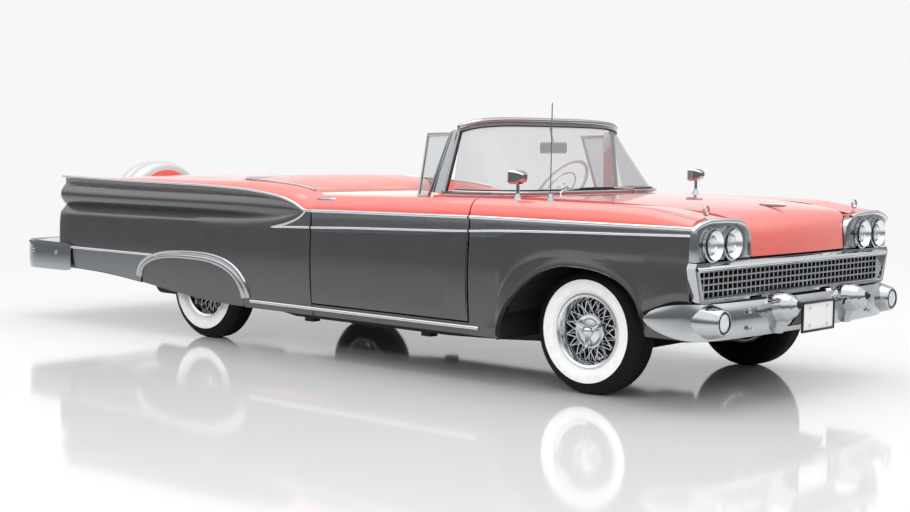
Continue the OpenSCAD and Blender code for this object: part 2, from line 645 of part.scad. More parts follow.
// Running gear
RAIL = [[xf + 628, front_rail, 300, 90, 60], [xf + 318, front_rail, 262, 98, 66], [xf + 90, front_rail,
    205, 100, 70],
  [xf - 90, front_rail, 203, 100, 70], [xf - 432, front_rail + 15, 195, 100, 70], [xf - 732, 560, 190,
      115.6, 75],
  [xf - 1032, 640, 190, 115.6, 80], [xr + 715, 640, 190, 115.6, 80], [xr + 465, spring_y - 25, 198, 107, 75],
  [xr + 322, spring_y - 75, 215, 90, 70], [xr + 110, spring_y - 115, 425, 92, 66], [xr, spring_y - 115,
      432, 92, 66],
  [xr - 335, spring_y - 115, 420, 90, 66], [xr - 735, spring_y - 115, 400, 90, 60], [tail_x + 80,
      spring_y - 115, 400, 90, 60]];
arm_low = axle_z - 82;
arm_high = axle_z + 112;
module chassis_frame() {
  both_sides() bar([for (r = RAIL) [[r[0], r[1] - r[4] / 2, r[2]], [r[0], r[1] + r[4] / 2, r[2]],
    [r[0], r[1] + r[4] / 2, r[2] + r[3]], [r[0], r[1] - r[4] / 2, r[2] + r[3]]]]);
  both_sides() box(xf - 70, xf + 70, front_rail - 33, front_rail + 35, 215, arm_high + 20);
  box(xf - 60, xf + 60, 15 - front_rail, front_rail - 15, 206, 300);
  box(xf + 358, xf + 438, 15 - front_rail, front_rail - 15, 275, 330);
  box(xf - 1372, xf - 1292, -620, 620, 215, 275);
  box(xr - 460, xr - 390, 135 - spring_y, spring_y - 135, 425, 490);
  box(tail_x + 85, tail_x + 150, 135 - spring_y, spring_y - 135, 405, 470);
}
module arm(z) {
  difference() {
    translate([xf, 0, z]) linear_extrude(16)
      polygon([[-62, front_rail + 35 + fit], [62, front_rail + 35 + fit], [26, kingpin_y + 16], [-26,
          kingpin_y + 16]]);
    translate([xf, kingpin_y, z - 1]) cylinder(r = 9.8, h = 20);
  }
}
module control_arms() {
  both_sides() arm(arm_low);
  both_sides() arm(arm_high);
}
module knuckle() {
  translate([xf, kingpin_y, arm_low + 22]) cylinder(r = 19, h = arm_high - arm_low - 28);
  translate([xf, kingpin_y, arm_low + 1]) cylinder(r = 9, h = arm_high - arm_low + 14);
  along_y(xf, kingpin_y, axle_z, 22, front_track / 2 - kingpin_y + 46);
}
module engine() {
  box(door_front + 103, xf + 70, -215, 215, 300 + fit, 790);
  box(xf - 1242, door_front + 104, -120, 120, 292, 440);
  translate([xf - 250, 0, 789]) cylinder(r = 165, h = 90);
  box(xf + 372, xf + 424, -330, 330, 330 + fit, 760);
}
module rear_axle() {
  along_y(xr, -rear_track / 2 - 40, axle_z, 30, rear_track + 80);
  along_y(xr, -spring_y - 26, axle_z, 42, 2 * spring_y + 52);
  translate([xr, 0, axle_z]) sphere(r = 128);
  along_x(xr + 100, 0, axle_z + 4, 38, wheelbase - 1242 - 100 - fit);
  both_sides() translate([xr, spring_y + 25, 0]) rotate([90, 0, 0]) linear_extrude(50)
    polygon([[325, 296], [320, 312], [60, 284], [-60, 284], [-600, 372], [-604, 356], [-60, 262], [60, 262]]);
}
module exhaust() {
  along_x(xr - 500, -330, 188, 22, 2900);
  along_x(xr - 1000, -330, 250, 72, 520);
  box(xf - 1360, xf - 1304, -345, -315, 190, 215 - fit);
}
module fuel_tank() {
  box(xr - 1175, xr - 695, -225, 400, 402, 546 - fit);
}
module tie_down_eyes() {
  for (x = [xf - 1232, xr + 815]) for (s = [-1, 1]) difference() {
    box(x - 35, x + 35, s * 640 - 30, s * 640 + 30, 166, 190 - fit);
    translate([x, s * 640, 160]) cylinder(r = 14, h = 40);
  }
}

module floor_pan() {
  front = door_front + 65;
  riser = xr + 345;
  sill = door_rear - shut_gap + 2 * fit;
  difference() {
    union() {
      box(riser, sill + 1, fit - side_in, side_in - fit, floor_z, floor_z + floor_t);
      box(sill, front, -790 + fit, 790 - fit, floor_z, floor_z + floor_t);
    }
    box(riser - 1, front + 1, -100, 100, floor_z - 1, floor_z + 20);
    box(xf - 1260, front + 1, -162, 162, floor_z - 1, floor_z + 20);
  }
  difference() {
    box(riser, xf - 1250, -112, 112, floor_z, 424);
    box(riser - 10, xf - 1240, -100, 100, floor_z - 1, 412);
  }
  difference() {
    box(xf - 1262, front, -174, 174, floor_z, 474);
    box(xf - 1270, front + 1, -162, 162, floor_z - 1, 462);
  }
  difference() {
    box(riser - 12, riser + 1, -house_y, house_y, floor_z, 560);
    box(riser - 20, riser + 11, -100, 100, floor_z - 1, 412);
  }
  box(tail_x + 20 + fit, riser, -house_y, house_y, 546, 560);
  both_sides() box(xr - 360, riser, house_y - 12, house_y, 500, 705);
  both_sides() box(xr - 360, riser, house_y - 12, 885, 693, 705);
  both_sides() box(riser - 12, riser, house_y - 12, side_in - 5, floor_z, 705);
}

// Cabin
module front_seat() {
  x = mix(door_rear, door_front, 0.21);
  difference() {
    translate([0, 690, 0]) rotate([90, 0, 0]) linear_extrude(1380)
      polygon([[x + 30, floor_z + floor_t + fit], [x + 540, floor_z + floor_t + fit], [x + 565,
          cushion_z - 60],
        [x + 540, cushion_z - 8], [x + 500, cushion_z], [x + 130, cushion_z - 26], [x + 50, 885], [x + 20,
            912],
        [x - 25, 915], [x - 52, 880], [x + 10, 470]]);
    box(x - 100, x + 600, -184, 184, 300, 484);
  }
}
module rear_seat() {
  x = xr + 525;
  difference() {
    translate([0, 690, 0]) rotate([90, 0, 0]) linear_extrude(1380)
      polygon([[x, floor_z + floor_t + fit], [x + 510, floor_z + floor_t + fit], [x + 540, cushion_z - 70],
        [x + 510, cushion_z - 20], [x + 150, cushion_z - 44], [x + 84, 930], [x + 50, 962], [x + 12, 955],
            [x, 925]]);
    box(x - 10, x + 600, -122, 122, 300, 434);
  }
}
module boot_cover() {
  x0 = xr + 292.3;
  PLEAT = [[0, 1002], [34, 1020], [90, 1031], [150, 1030], [196, 1012], [218, 968]];
  rows = [for (r = PLEAT) [for (u = FAN) [x0 + r[0], 742 * u, r[1] - 16 * pow(abs(u), 3)]]];
  slab(rows, [for (r = rows) [for (p = r) [p[0], p[1] * 0.98, 900]]]);
}
wheel_at = [xf - 1102, 380, 985];
module on_column(d) {
  translate(wheel_at) rotate([0, 90 + column_tilt, 0]) translate([0, 0, d]) children();
}
module dashboard() {
  difference() {
    translate([0, 690, 0]) rotate([90, 0, 0]) linear_extrude(1380)
      polygon([[xf - 882, 770], [xf - 892, 860], [xf - 862, 950], [door_front + 65.1, 950],
          [door_front + 65.1, 928],
        [xf - 800, 742]]);
    on_column(0) cylinder(r = 28 + fit, h = 700);
  }
}
module steering_column() {
  difference() {
    on_column(34) cylinder(r = 28, h = 480);
    on_column(33) cylinder(r = 13, h = 70);
  }
}
module steering_wheel() {
  on_column(0) rotate_extrude() translate([hand_wheel_r, 0]) circle(r = 11);
  on_column(0) cylinder(r = 40, h = 28);
  on_column(10) cylinder(r = 12, h = 80);
  on_column(8) for (s = [-1, 1]) rotate([0, 0, s * 90]) rotate([0, 90, 0]) cylinder(r = 8,
      h = hand_wheel_r - 4);
}
// Mirror head from the glass forward: station, half width, half height, rise
MIRROR = [[-34, 44, 33, 0], [-28, 48, 37, 0], [6, 46, 35, 0], [34, 34, 24, 2], [48, 18, 11, 4]];
module fender_mirrors() {
  both_sides() {
    translate([xf - 445, 846, 958]) cylinder(r1 = 26, r2 = 9, h = 40);
    translate([xf - 445, 846, 990]) cylinder(r = 9, h = 70);
    bar([for (r = MIRROR) [for (c = [[-1, -0.7], [-0.7, -1], [0.7, -1], [1, -0.7], [1, 0.75], [0.75, 1],
        [-0.75, 1], [-1, 0.75]])
      [xf - 445 + r[0], 846 + r[1] * c[0], 1082 + r[3] + r[2] * c[1]]]]);
  }
}
module antenna() {
  translate([xf - 312, -742, 950]) cylinder(r1 = 24, r2 = 10, h = 50);
  translate([xf - 312, -742, 990]) cylinder(r = 3, h = 476);
}

// Wire wheel: rim, hub with its cap and three rows of spokes; outboard is +Y
module spoke_row(z, lean) {
  translate([0, 0, z]) linear_extrude(5) for (i = [0:spoke_count - 1])
    rotate(i * 360 / spoke_count) translate([46, 0]) rotate(lean) translate([0, -3]) square([112, 6]);
}
module wire_wheel(bore) {
  rotate([-90, 0, 0]) {
    rotate_extrude() polygon([[160, -72], [170, -72], [178, -66], [178, 66], [170, 72], [160, 72], [150,
        40], [150, -40]]);
    rotate_extrude() polygon([[bore, -34], [52, -34], [52, 40], [46, 70], [34, 92], [0, 96], [0, 66],
        [bore, 66]]);
    spoke_row(26, 26);
    spoke_row(2, -26);
    spoke_row(-24, 26);
  }
}
module tyre() {
  h = tyre_w / 2;
  half = [[rim_r + fit, h - 30], [rim_r + 10, h - 26], [rim_r + 26, h - 9], [rim_r + 50, h - 1],
      [rim_r + 78, h],
    [rim_r + 106, h - 8], [tyre_r - 17, h - 20], [tyre_r - 7, h - 31], [tyre_r, h - 46]];
  n = len(half) - 1;
  rotate([-90, 0, 0]) rotate_extrude()
    polygon(concat([for (p = half) [p[0], -p[1]]], [for (i = [n:-1:0]) half[i]]));
}
module on_hub(x, y) {
  translate([x, y, axle_z]) mirror([0, y < 0 ? 1 : 0, 0]) children();
}

color("#2b2b2d") chassis_frame();
color("#303033") control_arms();
color("#5a5f63") engine();
color("#303033") rear_axle();
color("#6d6a66") exhaust();
color("#3a3a3c") fuel_tank();
color("#2b2b2d") tie_down_eyes();
color("#3a3a3c") floor_pan();
color("#4a4a4c") rockers();
color("#4a4a4c") firewall();
color("#f0948c") cowl_top();
color("#f0948c") front_fender();  // front_fender_left
color("#f0948c") mirror([0, 1, 0]) front_fender();  // front_fender_right
color("#f0948c") quarter();  // quarter_left
color("#f0948c") mirror([0, 1, 0]) quarter();  // quarter_right
color("#f0948c") rear_deck();
color("#4a4a4c") tail_panel();
color("#4a4a4c") fender_skirts();
color("#d8dadd") grille_surround();
color("#9da0a3") grille();
color("#d8dadd") lamp_bezels();
color("#eef2f4") headlamps();
color("#d8dadd") front_bumper();
color("#d8dadd") bumper_guards();
color("#eef2f4") parking_lamps();
color("#f2f2ee") number_plate();
color("#d8dadd") rear_bumper();
color("#f0948c") spare_wheel_cover();
color("#a01818") tail_lamps();
color("#d8dadd") windshield_frame();
color("#b9c6cc") windshield_glass();
color("#e9a79f") front_seat();
color("#e9a79f") rear_seat();
color("#e58a80") dashboard();
color("#efeae2") steering_column();
color("#e9c3bd") boot_cover();
color("#d8dadd") fender_mirrors();
color("#d8dadd") antenna();
color("#f0948c") hood();
color("#f0948c") deck_lid();
color("#f0948c") door();  // door_left
color("#f0948c") mirror([0, 1, 0]) door();  // door_right
color("#d8dadd") vent_window();  // vent_window_left
color("#d8dadd") mirror([0, 1, 0]) vent_window();  // vent_window_right
color("#f2eee6") steering_wheel();
color("#303033") knuckle();  // knuckle_left
color("#303033") mirror([0, 1, 0]) knuckle();  // knuckle_right
color("#d8dadd") on_hub(xf, front_track / 2) wire_wheel(23);  // wheel_front_left
color("#d8dadd") on_hub(xf,  // wheel_front_right
    -front_track / 2) wire_wheel(23);
color("#d8dadd") on_hub(xr, rear_track / 2) wire_wheel(31);  // wheel_rear_left
color("#d8dadd") on_hub(xr, -rear_track / 2) wire_wheel(31);  // wheel_rear_right
color("#1d1d1f") on_hub(xf, front_track / 2) tyre();  // tyre_front_left
color("#1d1d1f") on_hub(xf, -front_track / 2) tyre();  // tyre_front_right
color("#1d1d1f") on_hub(xr, rear_track / 2) tyre();  // tyre_rear_left
color("#1d1d1f") on_hub(xr, -rear_track / 2) tyre();  // tyre_rear_right
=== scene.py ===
import math
import bmesh
import bpy
from mathutils import Matrix, Vector


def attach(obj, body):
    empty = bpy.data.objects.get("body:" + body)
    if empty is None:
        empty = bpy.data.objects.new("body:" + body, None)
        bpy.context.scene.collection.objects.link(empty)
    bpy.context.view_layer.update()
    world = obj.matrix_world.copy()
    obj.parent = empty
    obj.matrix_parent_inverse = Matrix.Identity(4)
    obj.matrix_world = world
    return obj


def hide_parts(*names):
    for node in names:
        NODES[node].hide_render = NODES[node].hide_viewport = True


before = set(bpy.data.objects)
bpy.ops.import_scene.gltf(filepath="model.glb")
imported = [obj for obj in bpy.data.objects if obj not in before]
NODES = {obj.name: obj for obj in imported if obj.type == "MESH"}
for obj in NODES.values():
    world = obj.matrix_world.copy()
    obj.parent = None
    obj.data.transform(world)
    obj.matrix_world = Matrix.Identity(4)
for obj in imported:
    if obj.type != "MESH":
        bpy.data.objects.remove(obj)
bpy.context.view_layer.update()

bpy.ops.object.select_all(action="DESELECT")


# Frame, axles, engine and exhaust.
# Pressed and welded box-section frame with forged arms and a cast axle housing, painted black; the engine
# and gearbox are enamelled castings bolted to it, and the exhaust hangs below.
def rgb(code):
    parts = [int(code[i:i + 2], 16) / 255 for i in (1, 3, 5)]
    return tuple(c / 12.92 if c <= 0.04045 else ((c + 0.055) / 1.055) ** 2.4 for c in parts) + (1,)


def finish_of(name, colour, metallic=0.0, rough=0.5, **more):
    mat = bpy.data.materials.new(name)
    mat.use_nodes = True
    shader = mat.node_tree.nodes["Principled BSDF"]
    shader.inputs["Base Color"].default_value = rgb(colour)
    shader.inputs["Metallic"].default_value = metallic
    shader.inputs["Roughness"].default_value = rough
    for key, value in more.items():
        shader.inputs[key.replace("_", " ")].default_value = value
    return mat


def add(mat, kind, sockets=None, links=None, **settings):
    node = mat.node_tree.nodes.new(kind)
    for key, value in settings.items():
        setattr(node, key, value)
    for key, value in (sockets or {}).items():
        node.inputs[key].default_value = value
    for key, source in (links or {}).items():
        mat.node_tree.links.new(source, node.inputs[key])
    return node


def grained(mat, scale, strength, distance):
    """Raised grain of about 1 / scale metres, as casting, embossing or pile leaves it."""
    place = add(mat, "ShaderNodeTexCoord").outputs["Object"]
    cloud = add(mat, "ShaderNodeTexNoise", {"Scale": scale, "Detail": 4.0}, {"Vector": place}).outputs["Fac"]
    bump = add(mat, "ShaderNodeBump", {"Strength": strength, "Distance": distance}, {"Height": cloud})
    shader = mat.node_tree.nodes["Principled BSDF"]
    mat.node_tree.links.new(bump.outputs["Normal"], shader.inputs["Normal"])
    return mat


# Engine enamel on cast iron: blue grey and half glossy over the casting, whose grain is drawn at 11 mm to
# show.
IRON = grained(finish_of("engine_enamel", "#4A5258", 0.2, 0.5), 90, 0.2, 0.001)


def mottled(mat, scale, dark, light):
    """Colour that drifts between two near shades, as flake, dust and age leave it."""
    place = add(mat, "ShaderNodeTexCoord").outputs["Object"]
    cloud = add(mat, "ShaderNodeTexNoise", {"Scale": scale, "Detail": 5.0}, {"Vector": place}).outputs["Fac"]
    ramp = add(mat, "ShaderNodeValToRGB", links={"Fac": cloud})
    for stop, level, colour in zip(ramp.color_ramp.elements, (.35, .65), (dark, light)):
        stop.position = level
        stop.color = rgb(colour)
    shader = mat.node_tree.nodes["Principled BSDF"]
    mat.node_tree.links.new(ramp.outputs["Color"], shader.inputs["Base Color"])
    return mat


# Chassis black on hot-rolled steel: half matt, with worn and dusty patches.
STEEL = finish_of("chassis_black", "#18181A", 0.1, 0.5)
mottled(STEEL, 40, "#141416", "#1F1E1F")
# Mild steel pipe browned by heat: dull and patchy.
PIPE = finish_of("exhaust_steel", "#6B6762", 0.8, 0.5)
mottled(PIPE, 30, "#5A5550", "#77736D")


def finished(node, mat):
    NODES[node].data.materials.clear()
    NODES[node].data.materials.append(mat)


for names, mat in ((("chassis_frame", "control_arms", "rear_axle", "fuel_tank", "tie_down_eyes"), STEEL),
                   (("knuckle_left", "knuckle_right"), STEEL), (("engine",), IRON), (("exhaust",), PIPE)):
    for name in names:
        finished(name, mat)


# Tyres.
# Cross-ply tyre for a 14-inch rim: moulded in black rubber with a wide white ring let into the outer wall, a
# rounded shoulder and a tread of five ribs.

# Moulded black tyre rubber: matt, with a fine grain drawn at 2.5 mm to show.
RUBBER = grained(finish_of("tyre_rubber", "#070708", 0.0, 0.72, Specular_IOR_Level=0.3), 400, 0.25, 0.0006)
# White rubber ring, buffed after moulding: off-white with faint grey clouds.
WHITEWALL = finish_of("whitewall_rubber", "#FAFAF8", 0.0, 0.45)
mottled(WHITEWALL, 25, "#F3F3F0", "#FCFCFB")


def only(obj):
    """Selects one piece and nothing else."""
    bpy.ops.object.select_all(action="DESELECT")
    obj.select_set(True)
    bpy.context.view_layer.objects.active = obj
    return obj


def smooth(obj, angle=40):
    only(obj)
    bpy.ops.object.shade_smooth_by_angle(angle=math.radians(angle))
    return obj


def turned(name, profile, around):
    """Spins a profile of (radius, along) about the Y axis."""
    data = bpy.data.meshes.new(name)
    data.from_pydata([(r, a, 0) for r, a in profile], [(i, i + 1) for i in range(len(profile) - 1)], [])
    obj = bpy.data.objects.new(name, data)
    bpy.context.scene.collection.objects.link(obj)
    only(obj)
    bpy.ops.object.mode_set(mode="EDIT")
    bpy.ops.mesh.select_all(action="SELECT")
    bpy.ops.mesh.spin(steps=around, angle=2 * math.pi, center=(0, 0, 0), axis=(0, 1, 0))
    bpy.ops.mesh.select_all(action="SELECT")
    bpy.ops.mesh.remove_doubles(threshold=0.00005)
    bpy.ops.mesh.normals_make_consistent(inside=False)
    bpy.ops.object.mode_set(mode="OBJECT")
    return smooth(obj, 35)


TYRE_R = .322
RIM_R = .178
WHITE_FROM = .186
WHITE_TO = .2617
GROOVE_DEEP = .007
tread = [(TYRE_R - .012, -.066), (TYRE_R - .002, -.052), (TYRE_R, -.047)]
for y in (-.034, -.012, .012, .034):
    tread += [(TYRE_R, y - .0035), (TYRE_R - GROOVE_DEEP, y - .003)]
    tread += [(TYRE_R - GROOVE_DEEP, y + .003), (TYRE_R, y + .0035)]
tread += [(TYRE_R, .047), (TYRE_R - .002, .052), (TYRE_R - .012, .066)]
inner_wall = [(RIM_R + .0005, -.064), (RIM_R + .010, -.069), (RIM_R + .026, -.086), (RIM_R + .05, -.094),
              (RIM_R + .078, -.095), (RIM_R + .106, -.087), (RIM_R + .122, -.078)]
outer_wall = [(.3, .078), (.284, .087), (.268, .0918), (.2625, .0932), (.2615, .0945), (.25, .0958),
              (.232, .0956), (.212, .0905), (.2025, .084), (.2015, .0825), (.192, .074),
              (RIM_R + .0005, .064)]
tyre = turned("tyre_model", inner_wall + tread + outer_wall, 96)
tyre.data.materials.append(RUBBER)
tyre.data.materials.append(WHITEWALL)
for poly in tyre.data.polygons:
    c = poly.center
    poly.material_index = 1 if c.y > .06 and WHITE_FROM < math.hypot(c.x, c.z) < WHITE_TO else 0


# Wire wheels and brake drums.
# Polished rim with a rolled edge and a drop centre, a splined hub and three rows of crossed spokes; a
# three-eared spinner holds the wheel on its hub, over an iron brake drum.
def uneven(mat, scale, low, high, stretch=(1, 1, 1)):
    """Roughness that wanders between two values, as polishing, dust or handling leaves it."""
    place = add(mat, "ShaderNodeTexCoord").outputs["Object"]
    place = add(mat, "ShaderNodeMapping", {"Scale": stretch}, {"Vector": place}).outputs["Vector"]
    cloud = add(mat, "ShaderNodeTexNoise", {"Scale": scale, "Detail": 3.0}, {"Vector": place}).outputs["Fac"]
    span = {"From Min": .3, "From Max": .7, "To Min": low, "To Max": high}
    gloss = add(mat, "ShaderNodeMapRange", span, {"Value": cloud}).outputs["Result"]
    mat.node_tree.links.new(gloss, mat.node_tree.nodes["Principled BSDF"].inputs["Roughness"])
    return mat


# Polished stainless steel: brighter than plate and a little softer, with fine lines along the piece.
STAINLESS = finish_of("polished_stainless", "#DCDEE0", 1.0, 0.08)
uneven(STAINLESS, 40, .06, .14, (.15, 1, 1))
# Sprayed bitumen underseal: black and matt, with dusty patches.
UNDER = finish_of("black_underseal", "#1B1B1C", 0.0, 0.85)
mottled(UNDER, 60, "#171718", "#222121")


def placed(obj, name, mat, body, nodes=()):
    """Names a finished piece and says what it rides on, stands for and is made of."""
    obj.name = obj.data.name = name
    if mat is not None:
        obj.data.materials.clear()
        obj.data.materials.append(mat)
    only(obj)
    bpy.ops.object.transform_apply(location=True, rotation=True, scale=True)
    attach(obj, body)
    if nodes:
        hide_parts(*nodes)
    return obj


def copy_of(obj, name, matrix):
    new = obj.copy()
    new.data = obj.data.copy()
    new.name = new.data.name = name
    bpy.context.scene.collection.objects.link(new)
    new.matrix_world = matrix
    only(new)
    bpy.ops.object.transform_apply(location=True, rotation=True, scale=True)
    if matrix.determinant() < 0:
        bpy.ops.object.mode_set(mode="EDIT")
        bpy.ops.mesh.select_all(action="SELECT")
        bpy.ops.mesh.normals_make_consistent(inside=False)
        bpy.ops.object.mode_set(mode="OBJECT")
    return new


def joined(objs, name):
    only(objs[0])
    for o in objs:
        o.select_set(True)
    bpy.ops.object.join()
    out = bpy.context.view_layer.objects.active
    out.name = out.data.name = name
    return out


def drop(obj):
    bpy.data.objects.remove(obj, do_unlink=True)


def modified(obj, kind, **settings):
    only(obj)
    mod = obj.modifiers.new(kind.title(), kind)
    for key, value in settings.items():
        setattr(mod, key, value)
    bpy.ops.object.modifier_apply(modifier=mod.name)
    return obj


def cylinder(radius, depth, place, axis, verts=32, bevel=0.0):
    bpy.ops.object.select_all(action="DESELECT")
    turn = {"x": (0, math.pi / 2, 0), "y": (math.pi / 2, 0, 0), "z": (0, 0, 0)}[axis]
    bpy.ops.mesh.primitive_cylinder_add(vertices=verts, radius=radius, depth=depth, location=place,
                                        rotation=turn)
    obj = bpy.context.object
    bpy.ops.object.transform_apply(location=True, rotation=True, scale=True)
    if bevel:
        modified(obj, "BEVEL", width=bevel, segments=3, limit_method="ANGLE")
    return smooth(obj)


def block(size, place, bevel=0.004, segments=3):
    bpy.ops.object.select_all(action="DESELECT")
    bpy.ops.mesh.primitive_cube_add(size=1, location=place)
    obj = bpy.context.object
    obj.scale = size
    bpy.ops.object.transform_apply(location=True, rotation=True, scale=True)
    if bevel:
        modified(obj, "BEVEL", width=bevel, segments=segments, limit_method="ANGLE")
    return smooth(obj)


# Front and rear axle lines, measured forward from the middle of the car.
XF = 1.932
XR = -1.065
# The two sides of the car, with the sign of each on the Y axis.
SIDES = (("left", 1), ("right", -1))
FLIP = Matrix.Scale(-1, 4, (0, 1, 0))

# Half sections of rim, hub and spinner, as distance from the shaft and place along it.
RIM_PROFILE = [(.158, -.072), (.166, -.077), (.184, -.078), (.190, -.075), (.189, -.072), (.178, -.070),
               (.176, -.05), (.168, -.04), (.160, -.03), (.158, 0), (.160, .03), (.168, .045), (.177, .055),
               (.178, .070), (.189, .072), (.1915, .075), (.190, .079), (.184, .080), (.172, .074),
               (.166, .062), (.160, .05), (.152, .035), (.150, .0), (.152, -.04), (.158, -.072)]
HUB_PROFILE = [(.023, -.034), (.060, -.034), (.062, -.028), (.054, -.02), (.050, 0), (.054, .02),
               (.070, .030), (.080, .038), (.087, .046), (.088, .051), (.085, .055), (.078, .056),
               (.070, .052), (.056, .054), (.040, .062), (.0, .064)]
SPINNER_PROFILE = [(.032, .055), (.033, .070), (.029, .078), (.020, .087), (.010, .093), (.0, .0945)]
rim = turned("rim_model", RIM_PROFILE, 96)
hub = turned("hub_model", HUB_PROFILE, 56)
spinner = turned("spinner_model", SPINNER_PROFILE, 48)
ears = []
for k in range(3):
    ear = block((.066, .013, .028), (.049, .066, 0), .006)
    for v in ear.data.vertices:
        if v.co.x > .06:
            v.co.y += .010
            v.co.z *= .62
    ear.matrix_world = Matrix.Rotation(math.radians(90 + 120 * k), 4, "Y")
    only(ear)
    bpy.ops.object.transform_apply(location=True, rotation=True, scale=True)
    ears.append(ear)


def spoke(a_deg, turn_deg, r0, y0, r1, y1, radius):
    """A wire from the hub at r0, y0 to the rim at r1, y1, turned about the shaft on its way."""
    a, b = math.radians(a_deg), math.radians(a_deg + turn_deg)
    p = Vector((r0 * math.cos(a), y0, r0 * math.sin(a)))
    q = Vector((r1 * math.cos(b), y1, r1 * math.sin(b)))
    bpy.ops.mesh.primitive_cylinder_add(vertices=8, radius=radius, depth=(q - p).length,
                                        location=(p + q) / 2, end_fill_type="NOTHING")
    rod = bpy.context.object
    rod.rotation_mode = "QUATERNION"
    rod.rotation_quaternion = (q - p).to_track_quat("Z", "Y")
    return rod


SPOKES_A_ROW = 16
LEAN = 30
bpy.ops.object.select_all(action="DESELECT")
rods = []
for k in range(SPOKES_A_ROW):
    a = k * 360 / SPOKES_A_ROW
    for lean in (LEAN, -LEAN):
        offset = math.copysign(3, lean)
        rods.append(spoke(a + offset, lean, .072, .034, .153, .040, .0027))
        rods.append(spoke(a + 11 + offset, .7 * lean, .060, .022, .152, .010, .0024))
        rods.append(spoke(a + 5 + offset, .8 * lean, .058, -.026, .152, -.018, .0024))
lacing = joined(rods, "spoke_model")
only(lacing)
bpy.ops.object.transform_apply(location=True, rotation=True, scale=True)
smooth(lacing, 60)
wheel = joined([rim, hub, spinner, lacing] + ears, "wheel_model")
wheel.data.materials.clear()
wheel.data.materials.append(STAINLESS)
for axle, x, half in (("front", XF, .75), ("rear", XR, .717)):
    for side, s in SIDES:
        put = Matrix.Translation((x, s * half, TYRE_R)) @ (Matrix.Identity(4) if s > 0 else FLIP)
        body = f"wheel_{axle}_{side}"
        name = f"tyre_{axle}_{side}"
        placed(copy_of(tyre, name + "_moulded", put), name + "_moulded", None, body, [name])
        name = f"wire_wheel_{axle}_{side}"
        placed(copy_of(wheel, name, put), name, None, body, [f"wheel_{axle}_{side}"])
        drum = cylinder(.138, .016, (x, s * (half - .022), TYRE_R), "y", 48, .004)
        placed(drum, f"brake_drum_{axle}_{side}", UNDER, body)
drop(tyre)
drop(wheel)


# Floor and firewall.
# Pressed floor with a tunnel and a kick-up over the axle, welded to the firewall: looped carpet above, black
# underseal below.

# Looped pile carpet: dull red brown, mottled, with rough tufts.
CARPET = grained(finish_of("loop_carpet", "#6E4744", 0.0, 0.95), 900, 0.8, 0.003)
mottled(CARPET, 260, "#5F3D3A", "#7B514E")


def from_solid(node):
    """A pressing begun from the solid of its node, with its triangles joined to four-sided faces."""
    source = NODES[node]
    obj = bpy.data.objects.new(node + "_panel", source.data.copy())
    bpy.context.scene.collection.objects.link(obj)
    obj.matrix_world = source.matrix_world.copy()
    only(obj)
    bpy.ops.object.mode_set(mode="EDIT")
    bpy.ops.mesh.select_all(action="SELECT")
    bpy.ops.mesh.remove_doubles(threshold=0.0002)
    bpy.ops.mesh.tris_convert_to_quads(face_threshold=math.radians(60), shape_threshold=math.radians(150))
    bpy.ops.mesh.normals_make_consistent(inside=False)
    bpy.ops.object.mode_set(mode="OBJECT")
    bpy.ops.object.transform_apply(location=True, rotation=True, scale=True)
    return obj


def paint_zones(obj, zone_of, mats):
    """Gives each face the finish that its place and normal ask for."""
    obj.data.materials.clear()
    for mat in mats:
        obj.data.materials.append(mat)
    for poly in obj.data.polygons:
        poly.material_index = zone_of(poly.center, poly.normal)
    return obj


COCKPIT_END = -.64
pan = from_solid("floor_pan")
paint_zones(pan, lambda c, n: 0 if n.z > .5 and c.x > COCKPIT_END else 1, [CARPET, UNDER])
placed(smooth(pan, 30), "floor_pan_carpeted", None, "body", ["floor_pan"])
finished("firewall", UNDER)


# Front fenders and doors.
# Deep-drawn steel panels, the fenders bolted to the cowl and the doors hung on it; coral above the upper
# strip, a brushed band between the strips and charcoal below. Inside, fenders are undersealed and doors
# trimmed.

# Coral enamel under clear lacquer: deep even colour, and a sharp gloss that hand polishing leaves uneven.
CORAL = finish_of("coral_enamel", "#E66B61", rough=0.3, Coat_Weight=1.0, Coat_Roughness=0.04)
uneven(CORAL, 6, .24, .36)
# Charcoal enamel with metal flake under lacquer: dark with a faint speckle, drawn coarser than real flake
# to show.
GREY = finish_of("charcoal_metallic_enamel", "#454243", 0.35, 0.28, Coat_Weight=1.0, Coat_Roughness=0.03)
mottled(uneven(GREY, 5, .24, .33), 700, "#3F3C3D", "#4B4849")
# Stainless sheet brushed along the car: grey, with highlights drawn out lengthwise.
BAND = finish_of("brushed_stainless_band", "#8E9093", 1.0, 0.26)
uneven(BAND, 300, .2, .32, (.02, 1, 1))
# Embossed coral vinyl: half matt, with a leather-like grain drawn at 1.7 mm.
VINYL = grained(finish_of("coral_vinyl", "#E58077", 0.0, 0.42), 600, 0.15, 0.0005)


def pressed(obj, sharp=38, levels=2):
    """Rounds a pressing: edges that turn sharply are held, the rest flows."""
    mesh = bmesh.new()
    mesh.from_mesh(obj.data)
    layer = mesh.edges.layers.float.get("crease_edge") or mesh.edges.layers.float.new("crease_edge")
    for edge in mesh.edges:
        if len(edge.link_faces) == 2:
            turn = math.degrees(edge.calc_face_angle(0.0))
            edge[layer] = 1.0 if turn > sharp else 0.0
    mesh.to_mesh(obj.data)
    mesh.free()
    modified(obj, "SUBSURF", levels=levels, render_levels=levels)
    return smooth(obj, 32)


# Front and rear edges of the doors.
DOOR_F = XF - 0.685
DOOR_R = XR + 1.132
